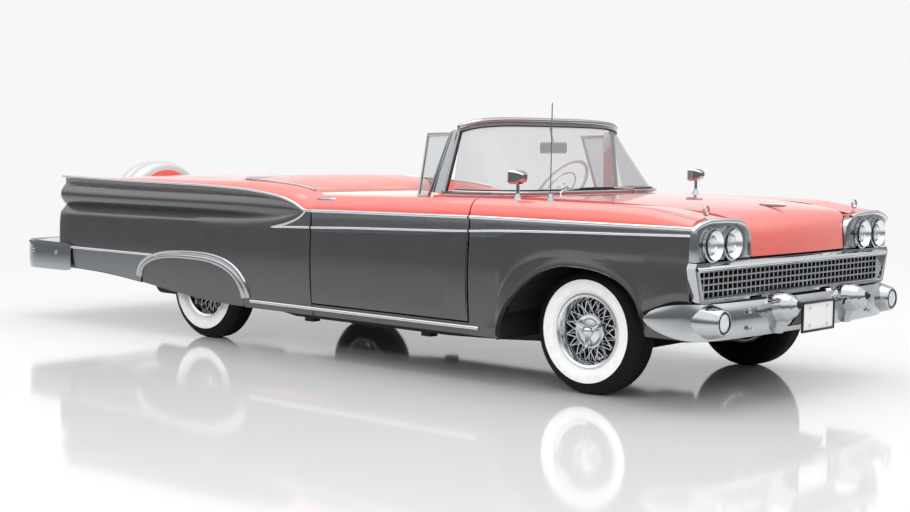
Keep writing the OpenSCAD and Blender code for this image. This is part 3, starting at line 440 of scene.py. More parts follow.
# Stations of the body side from door to lamp: place, lower strip, upper strip, shoulder width, top.
FORE = [(DOOR_R, .756, .852, .862, .944), (DOOR_R + .267, .767, .857, .868, .948),
        (DOOR_R + .889, .786, .865, .872, .963), (DOOR_F, .796, .869, .872, .968),
        (XF - .507, .806, .870, .871, .970), (XF - .139, .819, .871, .870, .970),
        (XF + .368, .832, .872, .862, .963), (XF + .680, .841, .872, .858, .918)]


def at(rows, x, col):
    """One column of the stations at x, on a smooth curve through them."""
    i = max(0, min(sum(1 for r in rows[1:-1] if r[0] <= x), len(rows) - 2))

    def slope(k):
        a, b = rows[max(k - 1, 0)], rows[min(k + 1, len(rows) - 1)]
        return (b[col] - a[col]) / (b[0] - a[0])
    h = rows[i + 1][0] - rows[i][0]
    s = min(max((x - rows[i][0]) / h, 0), 1)
    return (rows[i][col] * (2 * s ** 3 - 3 * s * s + 1) + h * slope(i) * (s ** 3 - 2 * s * s + s)
            + rows[i + 1][col] * (3 * s * s - 2 * s ** 3) + h * slope(i + 1) * (s ** 3 - s * s))


SHOULDER_IN = .80


def fore_zone(c):
    if abs(c.y) < SHOULDER_IN and c.z < .9:
        return 3
    if c.z > at(FORE, c.x, 2) - .003:
        return 0
    return 1 if c.z > at(FORE, c.x, 1) - .003 else 2


def in_gap(c):
    return abs(c.y) < .957 and c.z < .78 and c.x < DOOR_F + .03


for side, s in SIDES:
    door = from_solid("door_" + side)
    paint_zones(door, lambda c, n, s=s: 3 if n.y * s < -.6 else fore_zone(c), [CORAL, BAND, GREY, VINYL])
    fender = from_solid("front_fender_" + side)
    paint_zones(fender, lambda c, n, s=s: 3 if n.y * s < -.5 or n.z < -.6 or in_gap(c) else fore_zone(c),
                [CORAL, BAND, GREY, UNDER])
    placed(pressed(fender), f"front_fender_{side}_pressing", None, "body",
           ["front_fender_" + side])
    placed(pressed(door), f"door_{side}_pressing", None, "door_" + side, ["door_" + side])


# Rear quarters.
# Long welded pressing that carries the fin: crest, cove, swelling tube, groove and shelf run from behind the
# door to the tail; coral on top, charcoal on the flank, vinyl beside the rear seat.

# Stations of the rear quarter from tail to door: place, groove, crest height, crest width, the tube's swell.
AFT = [(XR - 1.345, .790, .984, .922, 1.0), (XR - 1.0, .791, .978, .922, 1.0),
       (XR - .59, .793, .973, .923, .98), (XR + .045, .797, .969, .925, .92),
       (XR + .3, .800, .964, .928, .85), (XR + .56, .803, .954, .932, .72),
       (XR + .835, .812, .926, .938, .42), (XR + .975, .832, .890, .942, .16),
       (XR + 1.053, .846, .856, .945, .03), (DOOR_R - .01, .843, .852, .950, .03)]

for side, s in SIDES:
    def quarter_zone(c, n, s=s):
        if n.y * s < -.5 or n.z < -.6 and (c.z < .6 or abs(c.y) < .8):
            return 2 if c.x < COCKPIT_END else 3
        crest_y, crest_z = at(AFT, c.x, 3), at(AFT, c.x, 2)
        if c.z > crest_z - .004 and abs(c.y) < crest_y - .001 and n.x > -.5 and c.x > XR - 1.335:
            return 0
        if n.z > .5 and c.z > crest_z - .09 and abs(c.y) < crest_y - .03:
            return 0
        return 1
    panel = paint_zones(from_solid("quarter_" + side), quarter_zone, [CORAL, GREY, UNDER, VINYL])
    placed(pressed(panel, 44), f"quarter_{side}_pressing", None, "body", ["quarter_" + side])


# Sills and tail panel.
# Folded steel closing pieces in charcoal enamel, spot-welded under the doors and between the quarters.
finished("rockers", GREY)
finished("tail_panel", GREY)


# Hood, deck lid, cowl and rear deck.
# Broad crowned pressings in coral enamel, hemmed round their edges over an inner frame; hood and lid are
# hinged.
for node, body in (("hood", "hood"), ("deck_lid", "deck_lid"), ("cowl_top", "body"), ("rear_deck", "body")):
    panel = paint_zones(from_solid(node), lambda c, n: 1 if n.z < -.5 else 0, [CORAL, UNDER])
    placed(pressed(panel, 40), node + "_pressing", None, body, [node])


# Side strips.
# Roll-formed stainless strips clipped to the panels: two along fender and door, one on the sill, one on the
# door's belt and one on the tail above the gravel shield.
def strip(name, points, radius, mat, body, closed=False):
    """Half-round bright moulding drawn along its line."""
    data = bpy.data.curves.new(name, "CURVE")
    data.dimensions = "3D"
    data.bevel_depth = radius
    data.bevel_resolution = 3
    data.use_fill_caps = True
    spline = data.splines.new("POLY")
    spline.points.add(len(points) - 1)
    for point, place in zip(spline.points, points):
        point.co = (*place, 1)
    spline.use_cyclic_u = closed
    obj = bpy.data.objects.new(name, data)
    bpy.context.scene.collection.objects.link(obj)
    only(obj)
    bpy.ops.object.convert(target="MESH")
    obj = bpy.context.view_layer.objects.active
    smooth(obj, 50)
    return placed(obj, name, mat, body)


def side_y(z):
    """Half width of the flank at a height."""
    return .966 - .032 * ((.56 - z) / .312) ** 2 if z < .56 else .966 - .016 * ((z - .56) / .28) ** 2


def steps(a, b, n):
    return [a + (b - a) * i / n for i in range(n + 1)]


SILL_Z = .290
TAIL_Z = .512


def fore_line(a, b, n, col, s, out=.001):
    sink = .001 if col == 2 else 0
    return [(x, s * (side_y(at(FORE, x, 1)) - sink + out), at(FORE, x, col)) for x in steps(a, b, n)]


for side, s in SIDES:
    for tag, body, a, b in (("fender", "body", DOOR_F + .011, XF + .70),
                            ("door", "door_" + side, DOOR_R + .001, DOOR_F - .001)):
        strip(f"upper_strip_{tag}_{side}", fore_line(a, b, 30, 2, s), .0105, STAINLESS, body)
        strip(f"lower_strip_{tag}_{side}", fore_line(a, b, 30, 1, s), .0075, STAINLESS, body)
    sill = [(x, s * (side_y(SILL_Z) + .002), SILL_Z) for x in steps(XR + .60, DOOR_F + .075, 24)]
    strip(f"sill_strip_{side}", sill, .011, STAINLESS, "body")
    tail = [(x, s * (side_y(TAIL_Z) + .002), TAIL_Z) for x in steps(XR - 1.25, XR - .26, 24)]
    strip(f"tail_strip_{side}", tail, .009, STAINLESS, "body")
    belt = [(x, s * .818, at(FORE, x, 4) - .004) for x in steps(DOOR_R + .004, DOOR_F - .41, 20)]
    strip(f"belt_strip_{side}", belt, .006, STAINLESS, "door_" + side)


# Fin trim.
# A stainless bead caps the fin's crest, and behind the door it turns back in a pointed spear round a brushed
# face.
def lofted(name, rows, mat, body):
    """A thin pressing skinned over rows of points."""
    n = len(rows[0])
    data = bpy.data.meshes.new(name)
    starts = [i * n + j for i in range(len(rows) - 1) for j in range(n - 1)]
    data.from_pydata([p for r in rows for p in r], [], [(k, k + 1, k + n + 1, k + n) for k in starts])
    obj = bpy.data.objects.new(name, data)
    bpy.context.scene.collection.objects.link(obj)
    only(obj)
    bpy.ops.object.mode_set(mode="EDIT")
    bpy.ops.mesh.select_all(action="SELECT")
    bpy.ops.mesh.normals_make_consistent(inside=False)
    bpy.ops.object.mode_set(mode="OBJECT")
    smooth(obj, 50)
    return placed(obj, name, mat, body)


SPEAR = [(DOOR_R - .012, .001, .756), (XR + .93, .002, .750), (XR + .82, .002, .744), (XR + .79, .002, .743),
         (XR + .83, .002, .749), (XR + .88, .002, .758), (XR + .93, .002, .771), (XR + .98, .002, .788),
         (XR + 1.02, .001, .806), (XR + 1.05, .001, .825)]
SPEAR_FACE = [(XR + .79, .7445, .7455), (XR + .88, .747, .758), (XR + .95, .750, .777),
              (XR + 1.02, .7525, .806), (XR + 1.06, .754, .833), (DOOR_R - .0105, .756, .849)]
for side, s in SIDES:
    along = steps(XR - 1.34, DOOR_R - .012, 70)
    crest = [(x, s * (at(AFT, x, 3) + .001), at(AFT, x, 2) - .001) for x in along]
    strip(f"fin_crest_{side}", crest, .0085, STAINLESS, "body")
    spear = [(x, s * (side_y(z) + proud), z) for x, proud, z in SPEAR]
    spear.append((XR + 1.072, s * (side_y(.846) + .001), .848))
    strip(f"fin_spear_{side}", spear, .0075, STAINLESS, "body")
    face = []
    for x, low, high in SPEAR_FACE:
        heights = [low + (high - low) * t for t in (0, .33, .66, 1)]
        face.append([(x, s * (side_y(z) + .0025), z) for z in heights])
    lofted(f"fin_spear_face_{side}", face, BAND, "body")


# Fender skirts and gravel shields.
# A charcoal skirt closes each rear wheel opening, edged by a bold plated moulding that widens towards the
# front; a brushed aluminium shield is screwed to the flank behind it.

# Chrome plate on polished steel: a near mirror, softened in patches by handling.
CHROME = finish_of("chrome_plate", "#B9BBBD", 1.0, 0.04)
uneven(CHROME, 14, .03, .07)
# Brushed anodised aluminium: dull silver sheen drawn out along the sheet.
SATIN = finish_of("anodised_aluminium", "#8B8D90", 1.0, 0.3)
uneven(SATIN, 300, .24, .38, (.02, 1, 1))


def formed(node, mat):
    """A heavy pressing or casting that keeps all its corners, in one finish."""
    placed(pressed(from_solid(node), 60), node + "_formed", mat, "body", [node])


SKIRT_X = XR + .043
SKIRT_SECTION = ((-.012, -.006), (-.011, .006), (-.003, .012), (.010, .010), (.016, .004), (.022, .010),
                 (.034, .011), (.040, .005), (.041, -.006))
SHIELD_TOP = .506
formed("fender_skirts", GREY)


def skirt_foot(x):
    t = min(max((XR + .443 - x) / 1.5, 0), 1)
    base = .248 + .124 * t * t * (3 - 2 * t)
    u = abs(x - SKIRT_X) / .494
    return base + (.518 - base) * (max(0, 1 - u ** 2.8) ** (1 / 2.8) if u < 1 else 0)


for side, s in SIDES:
    arch = [SKIRT_X + .492 * math.sin(math.radians(t)) for t in range(-90, 91, 2)]
    arch = [(x, skirt_foot(x)) for x in arch]
    rows = []
    for i, (x, z) in enumerate(arch):
        (xa, za), (xb, zb) = arch[max(i - 1, 0)], arch[min(i + 1, len(arch) - 1)]
        run = math.hypot(xb - xa, zb - za)
        nx, nz = -(zb - za) / run, (xb - xa) / run
        wide = .85 + .75 * (i / len(arch)) ** 2
        rows.append([(x + nx * a * wide, s * (side_y(z + nz * a * wide) + h), z + nz * a * wide)
                     for a, h in SKIRT_SECTION])
    lofted(f"skirt_moulding_{side}", rows, CHROME, "body")
    shield = []
    for x in steps(XR - 1.22, XR - .30, 30):
        foot = max(skirt_foot(x) + .004, .258)
        heights = [foot + (SHIELD_TOP - foot) * t for t in (0, .25, .5, .75, 1)]
        if SHIELD_TOP - foot > .004:
            shield.append([(x, s * (side_y(z) + .0022), z) for z in heights])
    lofted(f"gravel_shield_{side}", shield, SATIN, "body")


# Front wheel arches.
# The fender's lip is rolled out into a raked charcoal flare; behind it stand an undersealed wheelhouse and a
# flat splash shield, both screwed to the inner fender.
ARCH_X = XF - .027
ARCH_TOP = .655
SOLID_RAKE = 2.6
FLARE_RAKE = 1.7
HOUSE_SECTION = ((.940, 0), (.80, -.004), (.62, -.004), (.50, .004), (.485, .03), (.483, .30))


def arch_foot(x, rake):
    base, power = (.248, rake) if x < ARCH_X else (.345, SOLID_RAKE)
    u = abs(x - ARCH_X) / .455
    return base + (ARCH_TOP - base) * (max(0, 1 - u ** power) ** (1 / power) if u < 1 else 0)


def skin_y(panel, s, x, z):
    hit, place, _, _ = panel.ray_cast((x, s * 1.3, z), (0, -s, 0))
    return abs(place.y) if hit and abs(place.y) > .9 else side_y(z)


for side, s in SIDES:
    fender = bpy.data.objects[f"front_fender_{side}_pressing"]
    flare = []
    for x in [ARCH_X + .4545 * math.sin(math.radians(t)) for t in range(-90, 91, 2)]:
        low, edge = arch_foot(x, FLARE_RAKE), arch_foot(x, SOLID_RAKE)
        high = max(edge + .035, low + .08)
        foot, head = skin_y(fender, s, x, edge + .012), skin_y(fender, s, x, high)
        lip = [(low + .002, foot - .030), (low, foot + .004), (low + .004, foot + .009),
               (low + .014, foot + .009)]
        rise, reach = high - low - .030, head - foot - .0026
        lip += [(low + .030 + rise * k / 6, foot + .003 + reach * k / 6) for k in range(7)]
        flare.append([(x, s * y, z) for z, y in lip])
    lofted(f"arch_flare_{side}", flare, GREY, "body")
    splash = block((.010, .40, .40), (XF - .497, s * .735, .44), .003)
    placed(splash, f"splash_shield_{side}", UNDER, "body")
    house = []
    for turn in range(10, 171, 8):
        x = XF - .01 + .42 * math.cos(math.radians(turn))
        z = TYRE_R + .377 * math.sin(math.radians(turn))
        house.append([(x, s * y, max(z - down, .345)) for y, down in HOUSE_SECTION])
    lofted(f"wheelhouse_{side}", house, UNDER, "body")


# Door hems.
# The skin of each door is folded over its inner frame along the front edge; the fold lies half a millimetre
# proud over the hinge pockets, and its borders run under the skin.
PROUD = .0005
SUNK = -.0012
for side, s in SIDES:
    door = bpy.data.objects[f"door_{side}_pressing"]
    hem = []
    for i, x in enumerate(steps(DOOR_F - .16, DOOR_F - .007, 12)):
        line = [(max(skin_y(door, s, x, z), side_y(z) - .0006), z) for z in steps(.328, .782, 24)]
        lifts = [PROUD if i > 1 and 1 < j < 23 else SUNK for j in range(len(line))]
        hem.append([(x, s * (y + lift), z) for (y, z), lift in zip(line, lifts)])
    lofted(f"door_hem_{side}", hem, GREY, "door_" + side)


# Cockpit moulding.
# A bright stainless bead is screwed round the back of the cockpit, where the boot cover snaps on.
edge = [(XR + 1.0, .799, .966), (XR + .835, .788, .989), (XR + .56, .775, 1.006), (XR + .40, .765, 1.010),
        (XR + .32, .735, 1.012), (XR + .296, .66, 1.014), (XR + .293, .40, 1.018), (XR + .292, 0, 1.020)]
edge += [(x, -y, z) for x, y, z in reversed(edge[:-1])]
strip("cockpit_moulding", edge, .008, STAINLESS, "body")


# Front bumper, guards and parking lamps.
# A heavy plated bar bolted to the frame, with two plated guards under rubber caps; at each end a plated
# bullet carries the round lamp in a rubber seal.

# Extruded black rubber: dull, a little uneven.
SEAL = finish_of("black_rubber_seal", "#101011", 0.0, 0.6)
uneven(SEAL, 120, .5, .7)
# Pressed frosted glass: pale grey, glossy.
PARK_GLASS = finish_of("parking_lamp_glass", "#D5D7D8", 0.0, 0.12, Coat_Weight=1.0)


def spun(name, profile, around, place, mat, body="body"):
    """A turned piece of its own, set with its shaft along a turned Y axis."""
    model = turned(name + "_model", profile, around)
    out = placed(copy_of(model, name, place), name, mat, body)
    drop(model)
    return out


PARK_X = 2.739
PARK_Y = .868
PARK_Z = .438
formed("front_bumper", CHROME)
finished("bumper_guards", CHROME)
finished("parking_lamps", PARK_GLASS)
for side, s in SIDES:
    put = Matrix.Translation((2.8313, s * .356, .4912)) @ Matrix.Rotation(-math.pi / 2, 4, "Z")
    put = put @ Matrix.Rotation(math.radians(10), 4, "X")
    cap = [(.0, .0), (.034, .0), (.0345, .004), (.020, .028), (.008, .044), (.0, .048)]
    spun(f"guard_cap_{side}", cap, 32, put, SEAL)
    for k, (x, y, z) in enumerate(((2.741, .62, .478), (2.741, .62, .392), (2.748, .22, .485))):
        bolt = cylinder(.013, .012, (x, s * y, z), "x", 24, .004)
        placed(bolt, f"bumper_bolt_{side}_{k}", CHROME, "body")
    put = Matrix.Translation((PARK_X, s * PARK_Y, PARK_Z)) @ Matrix.Rotation(-math.pi / 2, 4, "Z")
    bullet = [(.0, -.345), (.04, -.33), (.070, -.29), (.089, -.23), (.096, -.17), (.094, -.12), (.086, -.07),
              (.075, -.03), (.066, .0), (.062, .012), (.056, .017), (.050, .014), (.0485, .004)]
    spun(f"park_ring_{side}", bullet, 48, put, CHROME)
    seal = [(.045, .0145), (.046, .018), (.050, .0185), (.0515, .0155)]
    spun(f"park_seal_{side}", seal, 48, put, SEAL)


# Grille.
# Pressed aluminium bars in a plated surround, under a polished header bar whose face leans back to the hood;
# a bead frames the opening, and a black sheet behind the bars is painted shade for the dark space inside it.

# Bright anodised aluminium: silver with a soft, slightly uneven gloss.
MESH = finish_of("bright_anodised_grille", "#C3C5C7", 1.0, 0.22)
uneven(MESH, 60, .18, .3)
# Front face of the lamp castings and the grille.
FACE = XF + .6804

HEADER_SECTION = ((.030, .719), (.036, .7195), (.044, .715), (.060, .703), (.074, .691), (.0765, .686),
                  (.074, .679), (.062, .674), (.040, .673))
HEADER_HALF = .966
finished("grille_surround", CHROME)
finished("grille", MESH)
# Painted shade: a black sheet behind the bars stands in for the shadow inside the grille opening.
placed(block((.004, 1.84, .126), (FACE - .014, 0, .606), 0), "grille_shade", UNDER, "body")
header = []
for y in steps(-HEADER_HALF, HEADER_HALF, 48):
    back = .022 * (abs(y) / HEADER_HALF) ** 6
    header.append([(FACE + x - back, y, z) for x, z in HEADER_SECTION])
lofted("grille_header", header, STAINLESS, "body")
corners = ((-.960, .674), (-.916, .540), (.916, .540), (.960, .674))
strip("grille_bead", [(FACE + .050, y, z) for y, z in corners], .007, CHROME, "body", closed=True)


# Headlamps.
# Two sealed beams a side in a plated casting: fluted lens, silvered bowl and a thin retaining ring, under a
# bright brow that caps the fender's end.

# Pressed lens glass: clear and bright, with upright flutes 11 mm apart.
LENS = finish_of("lamp_lens_glass", "#F4F7F8", 0.0, 0.02, Transmission_Weight=0.85, IOR=1.3)
place = add(LENS, "ShaderNodeTexCoord").outputs["Object"]
flutes = add(LENS, "ShaderNodeTexWave", {"Scale": 28.0, "Distortion": 0.0}, {"Vector": place},
             bands_direction="Y")
ribbed = add(LENS, "ShaderNodeBump", {"Strength": 0.5, "Distance": 0.002}, {"Height": flutes.outputs["Fac"]})
LENS.node_tree.links.new(ribbed.outputs["Normal"], LENS.node_tree.nodes["Principled BSDF"].inputs["Normal"])
# Silvered reflector: bright, with soft highlights.
REFLECTOR = finish_of("lamp_reflector_silver", "#E6E8EA", 1.0, 0.18)

LAMPS = ((.841, .796), (.671, .798))
finished("headlamps", LENS)
bezels = modified(from_solid("lamp_bezels"), "BEVEL", width=.006, segments=3, limit_method="ANGLE",
                  angle_limit=math.radians(50))
placed(smooth(bezels, 35), "lamp_bezels_cast", CHROME, "body", ["lamp_bezels"])
for side, s in SIDES:
    for k, (y, z) in enumerate(LAMPS):
        put = Matrix.Translation((FACE + .040, s * y, z)) @ Matrix.Rotation(-math.pi / 2, 4, "Z")
        ring = [(.072, 0), (.079, .0), (.083, .006), (.0815, .014), (.074, .016), (.072, .010), (.072, 0)]
        spun(f"lamp_ring_{side}_{k}", ring, 48, put, CHROME)
        put = Matrix.Translation((FACE + .0305, s * y, z)) @ Matrix.Rotation(-math.pi / 2, 4, "Z")
        bowl = [(.0, .0), (.03, .004), (.055, .016), (.0705, .036)]
        spun(f"lamp_bowl_{side}_{k}", bowl, 40, put, REFLECTOR)
    brow = ((.030, .990, .862), (.034, .975, .876), (.036, .93, .893), (.038, .858, .908), (.039, .74, .908),
            (.039, .61, .902), (.039, .556, .889))
    strip(f"lamp_brow_{side}", [(FACE + x, s * y, z) for x, y, z in brow], .013, STAINLESS, "body")
    bead = ((.560, .884), (.521, .863), (.4935, .835), (.4935, .79), (.4935, .733))
    strip(f"lamp_bead_{side}", [(FACE + .041, s * y, z) for y, z in bead], .006, CHROME, "body")
    fold = block((.06, .06, .03), (2.585, s * .612, .888), .006)
    placed(fold, f"fender_return_{side}", CORAL, "body")


# Number plate.
# A blank enamelled plate in a dark folded frame, held to the bumper by four screws.

# White enamel on pressed steel: clean, half glossy.
PLATE = finish_of("blank_plate_enamel", "#EDEDEA", 0.0, 0.35)
uneven(PLATE, 30, .28, .42)
# Black enamel: glossy with slight haze.
DARK = finish_of("black_enamel", "#131314", 0.0, 0.3)
uneven(DARK, 30, .24, .4)

PLATE_X = 2.7715
finished("number_plate", PLATE)
bars = (((.012, .334, .012), (0, .484)), ((.012, .334, .012), (0, .340)),
        ((.012, .012, .15), (.161, .412)), ((.012, .012, .15), (-.161, .412)))
for k, (size, (y, z)) in enumerate(bars):
    placed(block(size, (PLATE_X, y, z), .003), f"plate_frame_{k}", DARK, "body")
for k, (y, z) in enumerate(((.0889, .4565), (-.0889, .4565), (.0889, .3675), (-.0889, .3675))):
    screw = cylinder(.0075, .006, (PLATE_X + .0025, y, z), "x", 16, .0015)
    placed(screw, f"plate_screw_{k}", STAINLESS, "body")


# Hood spear, fender sights, mirrors and antenna.
# Small plated castings screwed through the panels: a spear on the hood's nose, a ring on each fender, a
# mirror with a silvered glass on each fender, and a drawn steel mast.
spear = [(.0, -.11), (.006, -.08), (.010, -.03), (.011, .01), (.009, .035), (.005, .05), (.0, .056)]
put = Matrix.Translation((XF + .585, 0, .961)) @ Matrix.Rotation(-math.pi / 2, 4, "Z")
spun("hood_spear_plated", spear, 24, put, CHROME, "hood")
sight = [(.019, -.005), (.024, -.0055), (.026, 0), (.024, .0055), (.019, .005), (.019, -.005)]
for side, s in SIDES:
    put = Matrix.Translation((XF + .633, s * .754, .952)) @ Matrix.Rotation(math.pi / 2, 4, "Z")
    spun(f"fender_sight_{side}", sight, 32, put, CHROME)
    pane = block((.003, .080, .058), (XF - .4803, s * .846, 1.082), .001)
    placed(pane, f"mirror_glass_{side}", REFLECTOR, "body")
finished("fender_mirrors", CHROME)
finished("antenna", CHROME)


# Tail: rear bumper, spare wheel cover and lamps.
# The plated rear bumper reaches back to carry the spare, upright in a silver drum with coral faces; round
# red lamps sit in plated rings on the quarters' ends.

# Moulded red acrylic: deep clear red under a gloss.
RED_LENS = finish_of("red_lens", "#A30F12", 0.0, 0.12, Coat_Weight=1.0)
# Silver enamel with metal flake: pale, soft gloss.
SILVER = finish_of("silver_enamel", "#D3D5D7", 0.5, 0.35, Coat_Weight=0.6, Coat_Roughness=0.06)

TAIL_X = XR - 1.345
formed("rear_bumper", CHROME)
finished("tail_lamps", RED_LENS)
drum = [(.271, .014), (.279, .004), (.301, .0), (.329, .008), (.342, .026), (.3452, .05), (.3452, .10),
        (.343, .104), (.3452, .108), (.3452, .178), (.333, .206), (.305, .2182), (.0, .2182)]
put = Matrix.Translation((TAIL_X - .257, 0, .734)) @ Matrix.Rotation(-math.pi / 2, 4, "Z")
cover = spun("spare_cover_drum", drum, 96, put, SILVER)
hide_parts("spare_wheel_cover")
disc = [(.0, .002), (.06, .001), (.064, .006), (.16, .010), (.262, .0125), (.272, .0145)]
spun("spare_cover_face", disc, 72, put, CORAL)
ahead = [(.0, .222), (.10, .2225), (.22, .2215), (.284, .2185)]
spun("spare_cover_fore_face", ahead, 72, put, CORAL)
for side, s in SIDES:
    put = Matrix.Translation((TAIL_X, s * .762, .640)) @ Matrix.Rotation(math.pi / 2, 4, "Z")
    ring = [(.092, .006), (.104, .0), (.112, .0), (.115, .008), (.110, .020), (.098, .024), (.092, .020)]
    spun(f"tail_ring_{side}", ring, 56, put, CHROME)
    boss = [(.0, .036), (.024, .036), (.028, .042), (.02, .047), (.0, .048)]
    spun(f"tail_lamp_boss_{side}", boss, 32, put, CHROME)
    for k, (x, y) in enumerate(((-2.68, .978), (-2.40, .985))):
        bolt = cylinder(.013, .010, (x, s * y, .468), "y", 24, .003)
        placed(bolt, f"rear_bumper_bolt_{side}_{k}", CHROME, "body")


# Windshield.
# Curved laminated glass in a plated cast frame: rolled bright beads follow header, pillars and foot, and
# black rubber seals lie against the glass. An inside mirror hangs from the header and two wipers rest at its
# foot.

# Laminated plate glass: greyish and see-through, with sharp reflections.
GLASS = finish_of("windshield_plate_glass", "#A2A7A9", 0.0, 0.02, Alpha=0.3)

formed("windshield_frame", CHROME)
finished("windshield_glass", GLASS)


def bow(turn, mid, reach, half):
    return mid + reach * abs(math.cos(turn)) ** .5, half * math.copysign(abs(math.sin(turn)) ** .5, turn)


def screen(deg, t, d):
    """Point on the glass: deg round its bow, t from foot to header, d outwards."""
    turn = math.radians(deg)
    bx, by = bow(turn, XF - 1.002, .440 + d, .797 + d)
    hx, hy = bow(turn, XF - .977, .076 + d, .704 + d)
    return Vector((bx + (hx - bx) * t, by + (hy - by) * t, .982 + (.343 + .046 * math.cos(turn)) * t))


sweep = range(-88, 89, 4)
strip("header_bead", [screen(a, .99, .002) + Vector((0, 0, .018)) for a in sweep], .0165, CHROME, "body")
strip("header_seal", [screen(a, .955, .004) for a in sweep], .0045, SEAL, "body")
strip("screen_foot_bead", [screen(a, .0, .013) + Vector((0, 0, .010)) for a in sweep], .0085, CHROME, "body")
strip("screen_foot_seal", [screen(a, .055, .004) for a in sweep], .0045, SEAL, "body")
strip("mirror_stalk", [(1.035, 0, 1.345), (1.05, 0, 1.29), (1.06, 0, 1.255)], .006, CHROME, "body")
placed(block((.022, .24, .065), (1.062, 0, 1.232), .010, 4), "inside_mirror", CHROME, "body")
for side, s in SIDES:
    post = [(screen(90 * s, t, 0), .072 - .034 * t) for t in (.01, .25, .5, .75, .97)]
    strip(f"post_bead_{side}", [p + Vector((.012, s * .008, 0)) for p, w in post], .0085, CHROME, "body")
    strip(f"post_edge_{side}", [p + Vector((-w, s * .008, 0)) for p, w in post], .0065, CHROME, "body")
    seal = [p + Vector((.022, -s * .002, 0)) for p, w in post]
    strip(f"post_seal_{side}", seal, .0045, SEAL, "body")
    arm = ((1.392, .36, .984), (1.388, .34, 1.002), (1.374, .20, 1.010), (1.370, .06, 1.013))
    strip(f"wiper_arm_{side}", [(x, s * y, z) for x, y, z in arm], .004, STAINLESS, "body")
    blade = ((1.372, .27, 1.009), (1.373, .06, 1.012), (1.372, -.02, 1.013))
    strip(f"wiper_blade_{side}", [(x, s * y, z) for x, y, z in blade], .0045, SEAL, "body")


# Vent windows.
# A plated channel with a rolled bead stands on the door and holds a small pivoting pane.
VENT_RIM = .024
VENT = [Vector((DOOR_F - .397, .824, .952)), Vector((DOOR_F - .475, .824, .952)),
        Vector((DOOR_F - .516, .706, 1.305)), Vector((DOOR_F - .338, .706, 1.312))]
VENT_BEAD = ((DOOR_F - .401, .824, .960), (DOOR_F - .471, .824, .960), (DOOR_F - .510, .706, 1.299),
             (DOOR_F - .345, .706, 1.305))
mid = sum(VENT, Vector()) / 4
inside = [v + (mid - v) * VENT_RIM / (mid - v).length for v in VENT]


def pane_zone(c, n):
    for i in range(4):
        a, b = inside[i], inside[(i + 1) % 4]
        if (b.x - a.x) * (c.z - a.z) - (b.z - a.z) * (c.x - a.x) > 0:
            return 0
    return 1


for side, s in SIDES:
    vent = paint_zones(from_solid("vent_window_" + side), pane_zone, [CHROME, GLASS])
    modified(vent, "BEVEL", width=.003, segments=3, limit_method="ANGLE")
    name = "vent_window_" + side
    placed(smooth(vent), name + "_built", None, "door_" + side, [name])
    line = [(x, s * (y + .0075), z) for x, y, z in VENT_BEAD]
    strip(f"vent_bead_{side}", line, .0065, CHROME, "door_" + side, closed=True)


# Door furniture.
# A plated pull handle and button screwed to the shoulder; inside, a padded armrest, a bright strip and the
# boss of the window crank.

# Embossed ivory vinyl: half matt, with the same grain.
IVORY_VINYL = grained(finish_of("ivory_vinyl", "#EFE6DE", 0.0, 0.4), 600, 0.15, 0.0005)

for side, s in SIDES:
    body = "door_" + side
    handle = ((.075, .905, .905), (.085, .917, .9135), (.11, .9185, .916), (.18, .919, .918),
              (.215, .917, .917), (.228, .906, .9115))
    strip(f"door_handle_{side}", [(x, s * y, z) for x, y, z in handle], .015, CHROME, body)
    button = cylinder(.015, .020, (.068, s * .912, .908), "y", 28, .004)
    placed(button, f"door_button_{side}", CHROME, body)
    rest = block((.52, .05, .05), (.46, s * .786, .70), .02, 4)
    placed(rest, f"armrest_{side}", IVORY_VINYL, body)
    strip(f"trim_strip_{side}", [(x, s * .803, .60) for x in steps(.14, 1.1, 4)], .006, STAINLESS, body)
    boss = cylinder(.02, .02, (.62, s * .798, .80), "y", 24, .004)
    placed(boss, f"crank_boss_{side}", CHROME, body)


# Seats.
# Full-width benches on carpeted plinths: sprung cushions under two-tone vinyl, sewn in upright channels
# between plain ivory bolsters. The crowns and channels are moved into the mesh, point by point.
CHANNEL = .085
BENCH_WIDE = 1.36
SEAT_FOOT = .3204


